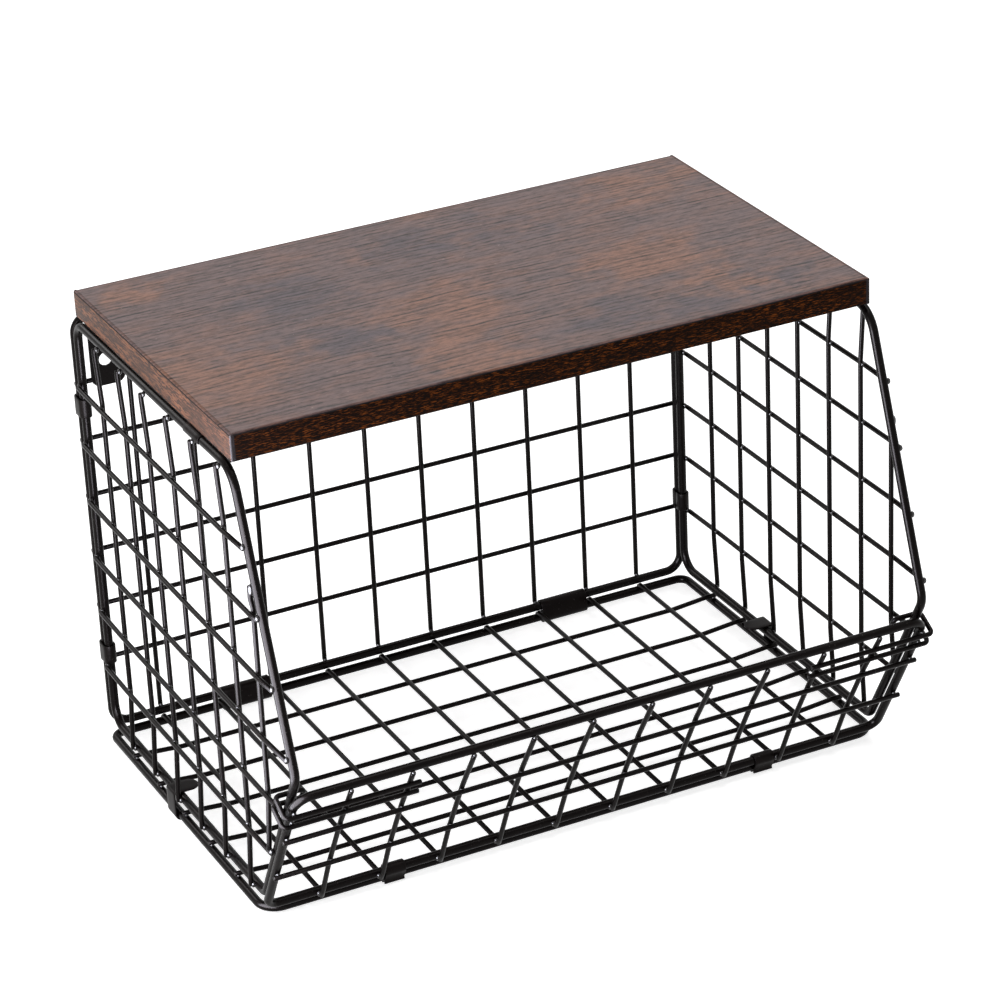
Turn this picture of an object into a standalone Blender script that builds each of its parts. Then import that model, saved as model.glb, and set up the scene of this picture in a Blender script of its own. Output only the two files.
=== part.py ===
"""Folding storage rack: a welded wire basket with a low front and a wooden board on top.

The rack stands on the XY plane with +Z up and its open front towards -Y. The back, bottom,
front and both sides are separate wire panels. Bent sheet clips join them, each side panel
swings inwards about its own rear rail, and the board lifts off.
"""

import math

import bmesh
import bpy
from mathutils import Matrix, Vector

MM = 0.001

# Stock, clearances and mesh fineness
RAIL_DIAMETER = 5.0 * MM
WIRE_DIAMETER = 2.5 * MM
SHEET = 0.9 * MM
SEAT_GAP = 0.3 * MM
WELD_DEPTH_SHARE = 0.175
RAIL_BEVEL_RESOLUTION = 3
WIRE_BEVEL_RESOLUTION = 2
ARC_STEP = math.radians(18)
CLIP_ARC_STEP = math.radians(30)
MERGE_DISTANCE = 0.001 * MM

# Board
BOARD_WIDTH = 375.0 * MM
BOARD_DEPTH = 219.0 * MM
BOARD_THICKNESS = 15.0 * MM
BOARD_REAR_INSET = 0.8 * MM
BAND_THICKNESS = 2.0 * MM
BAND_SEAM = 0.1 * MM

# Side panels, in the plane of their own rails
SIDE_REAR_Y = 132.6 * MM
SIDE_BOTTOM_Z = 13.0 * MM
SIDE_TOP_Z = 263.5 * MM
SIDE_TOP_FRONT_Y = -85.3 * MM
SIDE_UPPER_LEAN = math.radians(19.5)
SIDE_TO_FRONT_PANEL = 5.7 * MM
SIDE_REAR_TOP_RADIUS = 11.0 * MM
SIDE_FRONT_TOP_RADIUS = 18.0 * MM
SIDE_BEND_RADIUS = 12.0 * MM
SIDE_FRONT_BOTTOM_RADIUS = 8.0 * MM
SIDE_REAR_BOTTOM_RADIUS = 12.0 * MM
SIDE_UPRIGHTS = 6
SIDE_UPRIGHT_REAR_MARGIN = 34.9 * MM
SIDE_UPRIGHT_FRONT_MARGIN = 13.0 * MM
SIDE_SHORT_UPRIGHT_AHEAD = 31.7 * MM
SIDE_WIRES = 6
SIDE_WIRE_FIRST_Z = 50.0 * MM
SIDE_WIRE_TOP_MARGIN = 38.0 * MM
SIDE_WIRE_SHORT_OF_RAIL = 1.5 * MM
SIDE_WIRE_FRONT_STUB = 3.4 * MM
SIDE_WIRE_LOW_FRONT_STUB = 1.2 * MM

# Back panel
BACK_BEHIND_SIDE = 5.3 * MM
BACK_BOTTOM_Z = 9.0 * MM
BACK_CORNER_RADIUS = 10.0 * MM
BACK_WIRES = 6
BACK_WIRE_FIRST_Z = 50.0 * MM
BACK_WIRE_TOP_MARGIN = 41.45 * MM
BACK_WIRE_STUB = 1.5 * MM
UPRIGHTS = 10
UPRIGHT_MARGIN = 30.0 * MM

# Bottom panel
BOTTOM_RAIL_OUTSET = 1.5 * MM
BOTTOM_REAR_AHEAD = 1.5 * MM
BOTTOM_REAR_RADIUS = 6.5 * MM
BOTTOM_FRONT_RADIUS = 11.0 * MM
BOTTOM_CROSS_WIRES = 5
BOTTOM_WIRE_END = 1.0 * MM
BOTTOM_CROSS_STUB = 1.8 * MM

# Front panel
FRONT_LEAN = math.radians(29.5)
FRONT_BOTTOM_Y = -87.9 * MM
FRONT_BOTTOM_Z = 7.5 * MM
FRONT_FLOOR_SETBACK = 2.8 * MM
FRONT_HEIGHT = 104.4 * MM
FRONT_TOP_RADIUS = 10.0 * MM
FRONT_BOTTOM_RADIUS = 7.0 * MM
FRONT_WIRES = 2
FRONT_UPRIGHT_MARGIN = 28.9 * MM
FRONT_WIRE_STUB = 3.0 * MM
FRONT_KINK_BELOW_TOP = 3.0 * MM

# Kinks of the thin wires where they meet a rail
KINK_LENGTH = 4.0 * MM
KINK_RISE = 4.5 * MM
LAP_PAST_CENTRE = 0.8 * MM
TOP_LAP_SHORT = 1.6 * MM
LONG_KINK_CLEARANCE = 3.0 * MM

# Hairpin hooks that hold the side panels to the front panel
HOOK_BELOW_TOP = 9.4 * MM
HOOK_SPREAD = 7.8 * MM
HOOK_PAST_UPRIGHT = 5.9 * MM
HOOK_LEG_CLEARANCE = 0.65 * MM
HOOK_RAIL_CLEARANCE = 0.8 * MM
HOOK_TIP_REACH = 9.5 * MM
HOOK_BEND_RADIUS = 2.6 * MM

# Sheet clips
WIDE_CLIP_BAY = 3
WIDE_CLIP_SIDE_GAP = 1.25 * MM
FRONT_CLIP_SIDE_GAP = 0.65 * MM
FRONT_CLIP_WIDTH = 12.0 * MM
FRONT_CLIP_LIP = 1.2 * MM
FRONT_CLIP_UNDER = math.radians(130)
CORNER_CLIP_HEIGHT = 11.0 * MM
LOWER_CLIP_GAP = 0.75 * MM
UPPER_CLIP_GAP = 4.1 * MM
TAB_UPRIGHT = 2
TAB_SIDE_GAP = 0.75 * MM
TAB_WIDTH = 11.8 * MM
TAB_TONGUE = 11.5 * MM
TAB_CORNER_RADIUS = 1.2 * MM
TONGUE_SHARES = (0.0, 0.35, 0.62, 0.84, 0.97)
PLATE_SIDE_GAP = 0.65 * MM
PLATE_WIDTH = 20.2 * MM
PLATE_HEIGHT = 42.5 * MM
PLATE_ROUNDING = 5.0 * MM
PLATE_HOLE_DIAMETER = 8.0 * MM
PLATE_HOLE_ASIDE = 11.0 * MM
PLATE_HOLE_BELOW = 26.9 * MM
SADDLE_FROM_FRONT = 48.0 * MM
SADDLE_LENGTH = 20.0 * MM
SADDLE_LEG = 1.2 * MM

# Worked out from the sizes above
RAIL = RAIL_DIAMETER / 2
WIRE = WIRE_DIAMETER / 2
LAP = RAIL + SEAT_GAP + WIRE
CROSSING = WIRE_DIAMETER * (1 - WELD_DEPTH_SHARE)
CLIP_RADIUS = RAIL + SEAT_GAP + SHEET / 2
HOOK_OUT = LAP - CROSSING + WIRE_DIAMETER + SEAT_GAP
HOOK_BEHIND = SIDE_TO_FRONT_PANEL + RAIL + HOOK_RAIL_CLEARANCE + WIRE
FLOOR_Z = RAIL
SIDE_RAIL_X = BOARD_WIDTH / 2
BACK_Y = SIDE_REAR_Y + BACK_BEHIND_SIDE
BOARD_UNDERSIDE_Z = SIDE_TOP_Z + RAIL + SEAT_GAP + SHEET + SEAT_GAP
BACK_TOP_Z = BOARD_UNDERSIDE_Z - SEAT_GAP - RAIL
BOTTOM_REAR_Y = BACK_Y - BOTTOM_REAR_AHEAD
BOTTOM_FRONT_Y = FRONT_BOTTOM_Y + FRONT_FLOOR_SETBACK
BOTTOM_RAIL_X = SIDE_RAIL_X + BOTTOM_RAIL_OUTSET
SIDE_OUTER_X = SIDE_RAIL_X + LAP
SIDE_SPAN_Y = SIDE_REAR_Y - SIDE_UPRIGHT_REAR_MARGIN - SIDE_TOP_FRONT_Y - SIDE_UPRIGHT_FRONT_MARGIN
SIDE_UPRIGHT_PITCH = SIDE_SPAN_Y / (SIDE_UPRIGHTS - 1)
SIDE_WIRE_PITCH = (SIDE_TOP_Z - SIDE_WIRE_TOP_MARGIN - SIDE_WIRE_FIRST_Z) / (SIDE_WIRES - 1)
BACK_WIRE_PITCH = (BACK_TOP_Z - BACK_WIRE_TOP_MARGIN - BACK_WIRE_FIRST_Z) / (BACK_WIRES - 1)
UPRIGHT_PITCH = 2 * (SIDE_RAIL_X - UPRIGHT_MARGIN) / (UPRIGHTS - 1)
FRONT_UPRIGHT_PITCH = 2 * (SIDE_RAIL_X - FRONT_UPRIGHT_MARGIN) / (UPRIGHTS - 1)
FRONT_WIRE_PITCH = FRONT_HEIGHT / (FRONT_WIRES + 1)
SIDE_TAN = math.tan(SIDE_UPPER_LEAN)
FRONT_TAN = math.tan(FRONT_LEAN)
FRONT_UP = Vector((0, -math.sin(FRONT_LEAN), math.cos(FRONT_LEAN)))
FRONT_OUT = Vector((0, -math.cos(FRONT_LEAN), -math.sin(FRONT_LEAN)))

BLACK = (0.022, 0.022, 0.024)
CLIP_BLACK = (0.030, 0.030, 0.032)
WALNUT = (0.200, 0.130, 0.105)
EDGE_BROWN = (0.130, 0.060, 0.032)


# The scene, its collections and materials

def clear_scene():
    """Remove every object that the new file starts with."""
    for item in list(bpy.data.objects):
        bpy.data.objects.remove(item, do_unlink=True)


def collection(name):
    """Add a collection to the scene."""
    group = bpy.data.collections.new(name)
    bpy.context.scene.collection.children.link(group)
    return group


def material(name, colour, roughness, metallic):
    """Make a Principled material of one colour."""
    made = bpy.data.materials.new(name)
    made.use_nodes = True
    shader = made.node_tree.nodes["Principled BSDF"]
    shader.inputs["Base Color"].default_value = (*colour, 1)
    shader.inputs["Roughness"].default_value = roughness
    shader.inputs["Metallic"].default_value = metallic
    made.diffuse_color = (*colour, 1)
    return made


def coated(name):
    """Black powder coat for a wire piece."""
    return material(name + "_coat", BLACK, 0.42, 0.0)


def pressed(name):
    """Black powder coat for a sheet piece, a little paler."""
    return material(name + "_coat", CLIP_BLACK, 0.48, 0.0)


clear_scene()
PARTS = collection("tiered_storage_rack")
CUTTERS = collection("cutters")


def hang(item, parent):
    """Parent an object where it stands."""
    item.parent = parent
    item.matrix_parent_inverse = parent.matrix_world.inverted()


def place(item, name, finish, parent):
    """Name an object, colour it, and hang it on its parent empty."""
    item.name = name
    item.data.name = name
    item.data.materials.clear()
    item.data.materials.append(finish)
    PARTS.objects.link(item)
    hang(item, parent)
    return item


def empty(name, location, parent=None):
    """An empty that marks a joint or the rack's own origin."""
    item = bpy.data.objects.new(name, None)
    item.location = location
    PARTS.objects.link(item)
    if parent:
        hang(item, parent)
    bpy.context.view_layer.update()
    return item


# Paths

def arc(corner, before, after, radius, step=ARC_STEP):
    """Points that round a corner between two neighbours with the given radius."""
    to_before = (before - corner).normalized()
    to_after = (after - corner).normalized()
    half = to_before.angle(to_after) / 2
    turn = math.pi - 2 * half
    centre = corner + (to_before + to_after).normalized() * radius / math.sin(half)
    start = corner + to_before * radius / math.tan(half) - centre
    axis = to_before.cross(to_after)
    count = max(2, math.ceil(turn / step))
    return [centre + Matrix.Rotation(-turn * k / count, 3, axis) @ start for k in range(count + 1)]


def rounded(points, radii, closed=False, step=ARC_STEP):
    """Round the corners of a path; a corner of radius zero stays sharp."""
    path = []
    last = len(points) - 1
    for k, (corner, radius) in enumerate(zip(points, radii)):
        if radius == 0 or (not closed and k in (0, last)):
            path.append(corner)
            continue
        path += arc(corner, points[k - 1], points[(k + 1) % len(points)], radius, step)
    return path


def wire_curve(name, paths, radius, resolution, closed=False):
    """A round wire along each path, as one curve object with filled caps."""
    curve = bpy.data.curves.new(name, 'CURVE')
    curve.dimensions = '3D'
    curve.bevel_depth = radius
    curve.bevel_resolution = resolution
    curve.use_fill_caps = True
    for path in paths:
        spline = curve.splines.new('POLY')
        spline.points.add(len(path) - 1)
        for point, place_at in zip(spline.points, path):
            point.co = (*place_at, 1)
        spline.use_cyclic_u = closed
        spline.use_smooth = True
    return bpy.data.objects.new(name, curve)


def to_mesh(item):
    """Turn a curve object into a mesh object whose caps are welded to its tubes."""
    bpy.context.scene.collection.objects.link(item)
    graph = bpy.context.evaluated_depsgraph_get()
    mesh = bpy.data.meshes.new_from_object(item.evaluated_get(graph))
    work = bmesh.new()
    work.from_mesh(mesh)
    bmesh.ops.remove_doubles(work, verts=work.verts, dist=MERGE_DISTANCE)
    work.to_mesh(mesh)
    work.free()
    made = bpy.data.objects.new(item.name, mesh)
    made.matrix_world = item.matrix_world
    bpy.data.objects.remove(item)
    mesh.shade_smooth()
    mesh.set_sharp_from_angle(angle=math.radians(50))
    return made


def unite(item, other, parent):
    """Join an object with another, which moves with it, by an exact Boolean modifier."""
    CUTTERS.objects.link(other)
    other.hide_render = True
    other.display_type = 'WIRE'
    hang(other, parent)
    modifier = item.modifiers.new("union", 'BOOLEAN')
    modifier.operation = 'UNION'
    modifier.solver = 'EXACT'
    modifier.object = other


def frame(name, corners, radii, parent):
    """A closed loop of rail with rounded corners."""
    path = rounded(corners, radii, closed=True)
    rail = wire_curve(name, [path], RAIL, RAIL_BEVEL_RESOLUTION, closed=True)
    return place(rail, name, coated(name), parent)


def grid(name, outer, inner, parent):
    """Two sets of thin wires, welded where they cross."""
    mesh = to_mesh(wire_curve(name, outer, WIRE, WIRE_BEVEL_RESOLUTION))
    crossing = to_mesh(wire_curve(name + "_crossing", inner, WIRE, WIRE_BEVEL_RESOLUTION))
    unite(mesh, crossing, parent)
    return place(mesh, name, coated(name), parent)


def spread(count, pitch):
    """Places for a row of wires, centred on zero."""
    return [(k - (count - 1) / 2) * pitch for k in range(count)]


# Side panels

def side_slant_y(z):
    """Where the side's front rail lies at a height: upper slant, then the front panel's slope."""
    upper = SIDE_TOP_FRONT_Y - SIDE_TAN * (SIDE_TOP_Z - z)
    lower = FRONT_BOTTOM_Y + SIDE_TO_FRONT_PANEL / math.cos(FRONT_LEAN) - FRONT_TAN * (z - FRONT_BOTTOM_Z)
    return max(upper, lower)


def side_bend_z():
    """Height at which the side's two front slants meet."""
    upper = SIDE_TOP_FRONT_Y - SIDE_TAN * SIDE_TOP_Z
    lower = FRONT_BOTTOM_Y + SIDE_TO_FRONT_PANEL / math.cos(FRONT_LEAN) + FRONT_TAN * FRONT_BOTTOM_Z
    return (lower - upper) / (SIDE_TAN + FRONT_TAN)


def side_slant_z(y, upper):
    """Height of the upper or the lower slant at a depth."""
    if upper:
        return SIDE_TOP_Z - (SIDE_TOP_FRONT_Y - y) / SIDE_TAN
    start = FRONT_BOTTOM_Y + SIDE_TO_FRONT_PANEL / math.cos(FRONT_LEAN)
    return FRONT_BOTTOM_Z + (start - y) / FRONT_TAN


def side_upright_y(k):
    """Depth of a side upright, counted from the rear."""
    return SIDE_REAR_Y - SIDE_UPRIGHT_REAR_MARGIN - k * SIDE_UPRIGHT_PITCH


def side_frame(name, side, parent):
    """The side's closed rail: rear, top, two front slants and bottom."""
    x = side * SIDE_RAIL_X
    bend = side_bend_z()
    corners = [Vector((x, SIDE_REAR_Y, SIDE_BOTTOM_Z)),
               Vector((x, SIDE_REAR_Y, SIDE_TOP_Z)),
               Vector((x, SIDE_TOP_FRONT_Y, SIDE_TOP_Z)),
               Vector((x, side_slant_y(bend), bend)),
               Vector((x, side_slant_y(SIDE_BOTTOM_Z), SIDE_BOTTOM_Z))]
    radii = [SIDE_REAR_BOTTOM_RADIUS, SIDE_REAR_TOP_RADIUS, SIDE_FRONT_TOP_RADIUS,
             SIDE_BEND_RADIUS, SIDE_FRONT_BOTTOM_RADIUS]
    return frame(name, corners, radii, parent)


def side_grid(name, side, parent):
    """Level wires on the side's outer face, with uprights just inside them."""
    outer_x = side * SIDE_OUTER_X
    inner_x = outer_x - side * CROSSING
    levels = []
    for k in range(SIDE_WIRES):
        z = SIDE_WIRE_FIRST_Z + k * SIDE_WIRE_PITCH
        stub = SIDE_WIRE_FRONT_STUB if z > side_bend_z() else SIDE_WIRE_LOW_FRONT_STUB
        levels.append([Vector((outer_x, SIDE_REAR_Y - SIDE_WIRE_SHORT_OF_RAIL, z)),
                       Vector((outer_x, side_slant_y(z) - stub, z))])
    uprights = []
    top = SIDE_TOP_Z - TOP_LAP_SHORT
    lap = SIDE_BOTTOM_Z - LAP_PAST_CENTRE
    for k in range(SIDE_UPRIGHTS):
        y = side_upright_y(k)
        uprights.append([Vector((outer_x, y, top)),
                         Vector((outer_x, y, top - KINK_RISE)),
                         Vector((inner_x, y, SIDE_TOP_Z - SIDE_WIRE_TOP_MARGIN + LONG_KINK_CLEARANCE)),
                         Vector((inner_x, y, SIDE_WIRE_FIRST_Z - LONG_KINK_CLEARANCE)),
                         Vector((outer_x, y, lap + KINK_RISE)),
                         Vector((outer_x, y, lap))])
    y = side_upright_y(SIDE_UPRIGHTS - 1) - SIDE_SHORT_UPRIGHT_AHEAD
    top = side_slant_z(y, True)
    lap_top = top - LAP / math.sin(SIDE_UPPER_LEAN)
    lap_low = side_slant_z(y, False) + LAP / math.sin(FRONT_LEAN)
    uprights.append([Vector((outer_x, y, top + LAP_PAST_CENTRE)),
                     Vector((outer_x, y, lap_top)),
                     Vector((inner_x, y, lap_top - KINK_LENGTH)),
                     Vector((inner_x, y, lap_low + KINK_LENGTH)),
                     Vector((outer_x, y, lap_low)),
                     Vector((outer_x, y, SIDE_WIRE_FIRST_Z + CROSSING - WIRE))])
    return grid(name, levels, uprights, parent)


# Back, bottom and front panels

def back_frame(parent):
    """The back's closed rail."""
    corners = [Vector((side * SIDE_RAIL_X, BACK_Y, z))
               for side, z in ((-1, BACK_BOTTOM_Z), (-1, BACK_TOP_Z), (1, BACK_TOP_Z), (1, BACK_BOTTOM_Z))]
    return frame("back_frame", corners, [BACK_CORNER_RADIUS] * len(corners), parent)


def back_grid(parent):
    """Level wires behind the back's rails, with uprights just in front of them."""
    level_y = BACK_Y + LAP
    end = SIDE_RAIL_X + BACK_WIRE_STUB
    levels = []
    for k in range(BACK_WIRES):
        z = BACK_WIRE_FIRST_Z + k * BACK_WIRE_PITCH
        levels.append([Vector((-end, level_y, z)), Vector((end, level_y, z))])
    y = level_y - CROSSING
    low = BACK_BOTTOM_Z + RAIL + SEAT_GAP
    high = BACK_TOP_Z - RAIL - SEAT_GAP
    uprights = [[Vector((x, y, low)), Vector((x, y, high))] for x in spread(UPRIGHTS, UPRIGHT_PITCH)]
    return grid("back_grid", levels, uprights, parent)


def bottom_frame(parent):
    """The bottom's closed rail, which the rack stands on through its clips."""
    corners = [Vector((side * BOTTOM_RAIL_X, y, FLOOR_Z))
               for side, y in ((-1, BOTTOM_REAR_Y), (-1, BOTTOM_FRONT_Y), (1, BOTTOM_FRONT_Y), (1, BOTTOM_REAR_Y))]
    radii = [BOTTOM_REAR_RADIUS, BOTTOM_FRONT_RADIUS, BOTTOM_FRONT_RADIUS, BOTTOM_REAR_RADIUS]
    return frame("bottom_frame", corners, radii, parent)


def bottom_grid(parent):
    """Front-to-back wires on the bottom's rails, with cross wires under them."""
    z = FLOOR_Z + LAP
    rear = BOTTOM_REAR_Y - BOTTOM_WIRE_END
    front = BOTTOM_FRONT_Y + BOTTOM_WIRE_END
    along = [[Vector((x, rear, z)), Vector((x, front, z))] for x in spread(UPRIGHTS, UPRIGHT_PITCH)]
    pitch = (BOTTOM_REAR_Y - BOTTOM_FRONT_Y) / (BOTTOM_CROSS_WIRES + 1)
    end = BOTTOM_RAIL_X + BOTTOM_CROSS_STUB
    kink = BOTTOM_RAIL_X - RAIL - WIRE
    flat = SIDE_RAIL_X - UPRIGHT_MARGIN + LONG_KINK_CLEARANCE
    cross = []
    for k in range(BOTTOM_CROSS_WIRES):
        y = BOTTOM_REAR_Y - (k + 1) * pitch
        low = z - CROSSING
        cross.append([Vector((-end, y, z)), Vector((-kink, y, z)), Vector((-flat, y, low)),
                      Vector((flat, y, low)), Vector((kink, y, z)), Vector((end, y, z))])
    return grid("bottom_grid", along, cross, parent)


def front_point(x, up, out):
    """A point of the front panel: across, up its slope, and out of its plane."""
    foot = Vector((x, FRONT_BOTTOM_Y, FRONT_BOTTOM_Z))
    return foot + FRONT_UP * up + FRONT_OUT * out


def front_frame(parent):
    """The front's closed rail, leaning forwards."""
    corners = [front_point(-BOTTOM_RAIL_X, 0, 0), front_point(-BOTTOM_RAIL_X, FRONT_HEIGHT, 0),
               front_point(BOTTOM_RAIL_X, FRONT_HEIGHT, 0), front_point(BOTTOM_RAIL_X, 0, 0)]
    radii = [FRONT_BOTTOM_RADIUS, FRONT_TOP_RADIUS, FRONT_TOP_RADIUS, FRONT_BOTTOM_RADIUS]
    return frame("front_frame", corners, radii, parent)


def front_grid(parent):
    """Two level wires on the front's face, with uprights just behind them."""
    end = BOTTOM_RAIL_X + FRONT_WIRE_STUB
    levels = []
    for k in range(FRONT_WIRES):
        up = (k + 1) * FRONT_WIRE_PITCH
        levels.append([front_point(-end, up, LAP), front_point(end, up, LAP)])
    inner = LAP - CROSSING
    top = FRONT_HEIGHT + LAP_PAST_CENTRE
    rise = FRONT_HEIGHT - FRONT_KINK_BELOW_TOP
    uprights = []
    for x in spread(UPRIGHTS, FRONT_UPRIGHT_PITCH):
        uprights.append([front_point(x, top, LAP), front_point(x, rise, LAP),
                         front_point(x, rise - KINK_LENGTH, inner),
                         front_point(x, KINK_RISE + KINK_LENGTH, inner), front_point(x, KINK_RISE, LAP),
                         front_point(x, -LAP_PAST_CENTRE, LAP)])
    return grid("front_grid", levels, uprights, parent)


def hook(name, side, parent):
    """A hairpin of thin wire: two prongs on the front panel that reach round the side's rail."""
    end_x = side * (SIDE_RAIL_X - FRONT_UPRIGHT_MARGIN - FRONT_UPRIGHT_PITCH - HOOK_PAST_UPRIGHT)
    leg_x = side * (SIDE_OUTER_X + WIRE + HOOK_LEG_CLEARANCE + WIRE)
    tip_x = side * (SIDE_RAIL_X - HOOK_TIP_REACH)
    upper = FRONT_HEIGHT - HOOK_BELOW_TOP
    prong = [(end_x, HOOK_OUT), (leg_x, HOOK_OUT), (leg_x, -HOOK_BEHIND), (tip_x, -HOOK_BEHIND)]
    corners = [front_point(x, upper, out) for x, out in prong]
    corners += [front_point(x, upper - HOOK_SPREAD, out) for x, out in prong[::-1]]
    path = rounded(corners, [HOOK_BEND_RADIUS] * len(corners), step=CLIP_ARC_STEP)
    wire = to_mesh(wire_curve(name, [path], WIRE, WIRE_BEVEL_RESOLUTION))
    return place(wire, name, coated(name), parent)


# Sheet clips

def strip(name, stations, along, thickness=SHEET, closed=False):
    """A bent sheet: a line of (point, half width) stations, widened along one direction."""
    work = bmesh.new()
    rows = []
    for point, half in stations:
        rows.append((work.verts.new(point - along * half), work.verts.new(point + along * half)))
    ends = rows[1:] + rows[:1] if closed else rows[1:]
    for (a, b), (c, d) in zip(rows, ends):
        work.faces.new((a, b, d, c))
    mesh = bpy.data.meshes.new(name)
    work.to_mesh(mesh)
    work.free()
    mesh.shade_smooth()
    mesh.set_sharp_from_angle(angle=math.radians(40))
    item = bpy.data.objects.new(name, mesh)
    shell = item.modifiers.new("sheet", 'SOLIDIFY')
    shell.thickness = thickness
    shell.offset = 0
    shell.use_even_offset = True
    return item


def bend(centre, across, ahead, start, end):
    """Points of a sheet's middle line bent round a rail, from one angle to another."""
    count = math.ceil(abs(end - start) / CLIP_ARC_STEP)
    angles = [start + (end - start) * k / count for k in range(count + 1)]
    return [centre + (across * math.cos(t) + ahead * math.sin(t)) * CLIP_RADIUS for t in angles]


def belt(a, b, across, slit):
    """A belt round rails a and b, open by a slit on the middle of the flank that across points to."""
    ahead = (b - a).normalized()
    middle = (a + b) / 2 + across * CLIP_RADIUS
    path = [middle + ahead * slit / 2]
    path += bend(b, across, ahead, 0, math.pi)
    path += bend(a, across, ahead, math.pi, 2 * math.pi)
    path.append(middle - ahead * slit / 2)
    return path


def belt_clip(name, a, b, across, along, width, slit, parent):
    """A sheet clip bent round two rails that it holds together."""
    path = belt(a, b, across, slit)
    item = strip(name, [(point, width / 2) for point in path], along)
    return place(item, name, pressed(name), parent)


def corner_clip(name, side, low, parent):
    """A clip that holds the side's rear rail to the back's upright rail and lets it turn."""
    z = low + CORNER_CLIP_HEIGHT / 2
    a = Vector((side * SIDE_RAIL_X, SIDE_REAR_Y, z))
    b = Vector((side * SIDE_RAIL_X, BACK_Y, z))
    ahead = (b - a).normalized()
    across = Vector((-side * ahead.y, side * ahead.x, 0))
    return belt_clip(name, a, b, across, Vector((0, 0, 1)), CORNER_CLIP_HEIGHT, SHEET, parent)


def rear_hinge_clip(name, side, parent):
    """A wide clip round the back's bottom rail and the bottom's rear rail."""
    x = side * WIDE_CLIP_BAY * UPRIGHT_PITCH
    a = Vector((x, BOTTOM_REAR_Y, FLOOR_Z))
    b = Vector((x, BACK_Y, BACK_BOTTOM_Z))
    ahead = (b - a).normalized()
    across = Vector((0, ahead.z, -ahead.y))
    width = UPRIGHT_PITCH - WIRE_DIAMETER - 2 * WIDE_CLIP_SIDE_GAP
    return belt_clip(name, a, b, across, Vector((1, 0, 0)), width, SHEET, parent)


def front_hinge_clip(name, side, parent):
    """A narrow clip round the front's bottom rail and the bottom's front rail, with a flared lip."""
    wire_x = SIDE_RAIL_X - UPRIGHT_MARGIN - UPRIGHT_PITCH
    x = side * (wire_x - WIRE - FRONT_CLIP_SIDE_GAP - FRONT_CLIP_WIDTH / 2)
    a = Vector((x, BOTTOM_FRONT_Y, FLOOR_Z))
    b = Vector((x, FRONT_BOTTOM_Y, FRONT_BOTTOM_Z))
    ahead = (b - a).normalized()
    across = Vector((0, ahead.z, -ahead.y))
    foot = a - across * CLIP_RADIUS
    path = [foot - across * FRONT_CLIP_LIP - ahead * FRONT_CLIP_LIP, foot]
    path += bend(b, across, ahead, math.pi, 0)
    path += bend(a, across, ahead, 0, -FRONT_CLIP_UNDER)
    item = strip(name, [(point, FRONT_CLIP_WIDTH / 2) for point in path], Vector((1, 0, 0)))
    return place(item, name, pressed(name), parent)


def side_tab(name, side, parent):
    """A strap up the outside of the bottom's and the side's rails, with a rounded tongue inwards."""
    out = Vector((side, 0, 0))
    up = Vector((0, 0, 1))
    tab_y = side_upright_y(TAB_UPRIGHT) + WIRE + TAB_SIDE_GAP + TAB_WIDTH / 2
    low = Vector((side * BOTTOM_RAIL_X, tab_y, FLOOR_Z))
    wall = BOTTOM_RAIL_X + CLIP_RADIUS
    shelf = SIDE_BOTTOM_Z + CLIP_RADIUS
    half = TAB_WIDTH / 2
    quarter = math.pi / 2
    stations = [(point, half) for point in bend(low, out, up, -quarter, 0)]
    corner = Vector((side * (wall - TAB_CORNER_RADIUS), tab_y, shelf - TAB_CORNER_RADIUS))
    steps = math.ceil(quarter / CLIP_ARC_STEP)
    for k in range(steps + 1):
        angle = quarter * k / steps
        stations.append((corner + (out * math.cos(angle) + up * math.sin(angle)) * TAB_CORNER_RADIUS, half))
    root = SIDE_RAIL_X - TAB_TONGUE + half
    for share in TONGUE_SHARES:
        x = root - half * share
        stations.append((Vector((side * x, tab_y, shelf)), half * math.sqrt(1 - share * share)))
    item = strip(name, stations, Vector((0, 1, 0)))
    return place(item, name, pressed(name), parent)


def board_clip(name, side, parent):
    """A saddle over the side's top rail that the board rests on."""
    out = Vector((1, 0, 0))
    up = Vector((0, 0, 1))
    centre = Vector((side * SIDE_RAIL_X, SIDE_TOP_FRONT_Y + SADDLE_FROM_FRONT, SIDE_TOP_Z))
    path = [centre + out * CLIP_RADIUS - up * SADDLE_LEG]
    path += bend(centre, out, up, 0, math.pi)
    path.append(centre - out * CLIP_RADIUS - up * SADDLE_LEG)
    item = strip(name, [(point, SADDLE_LENGTH / 2) for point in path], Vector((0, 1, 0)))
    return place(item, name, pressed(name), parent)


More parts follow.
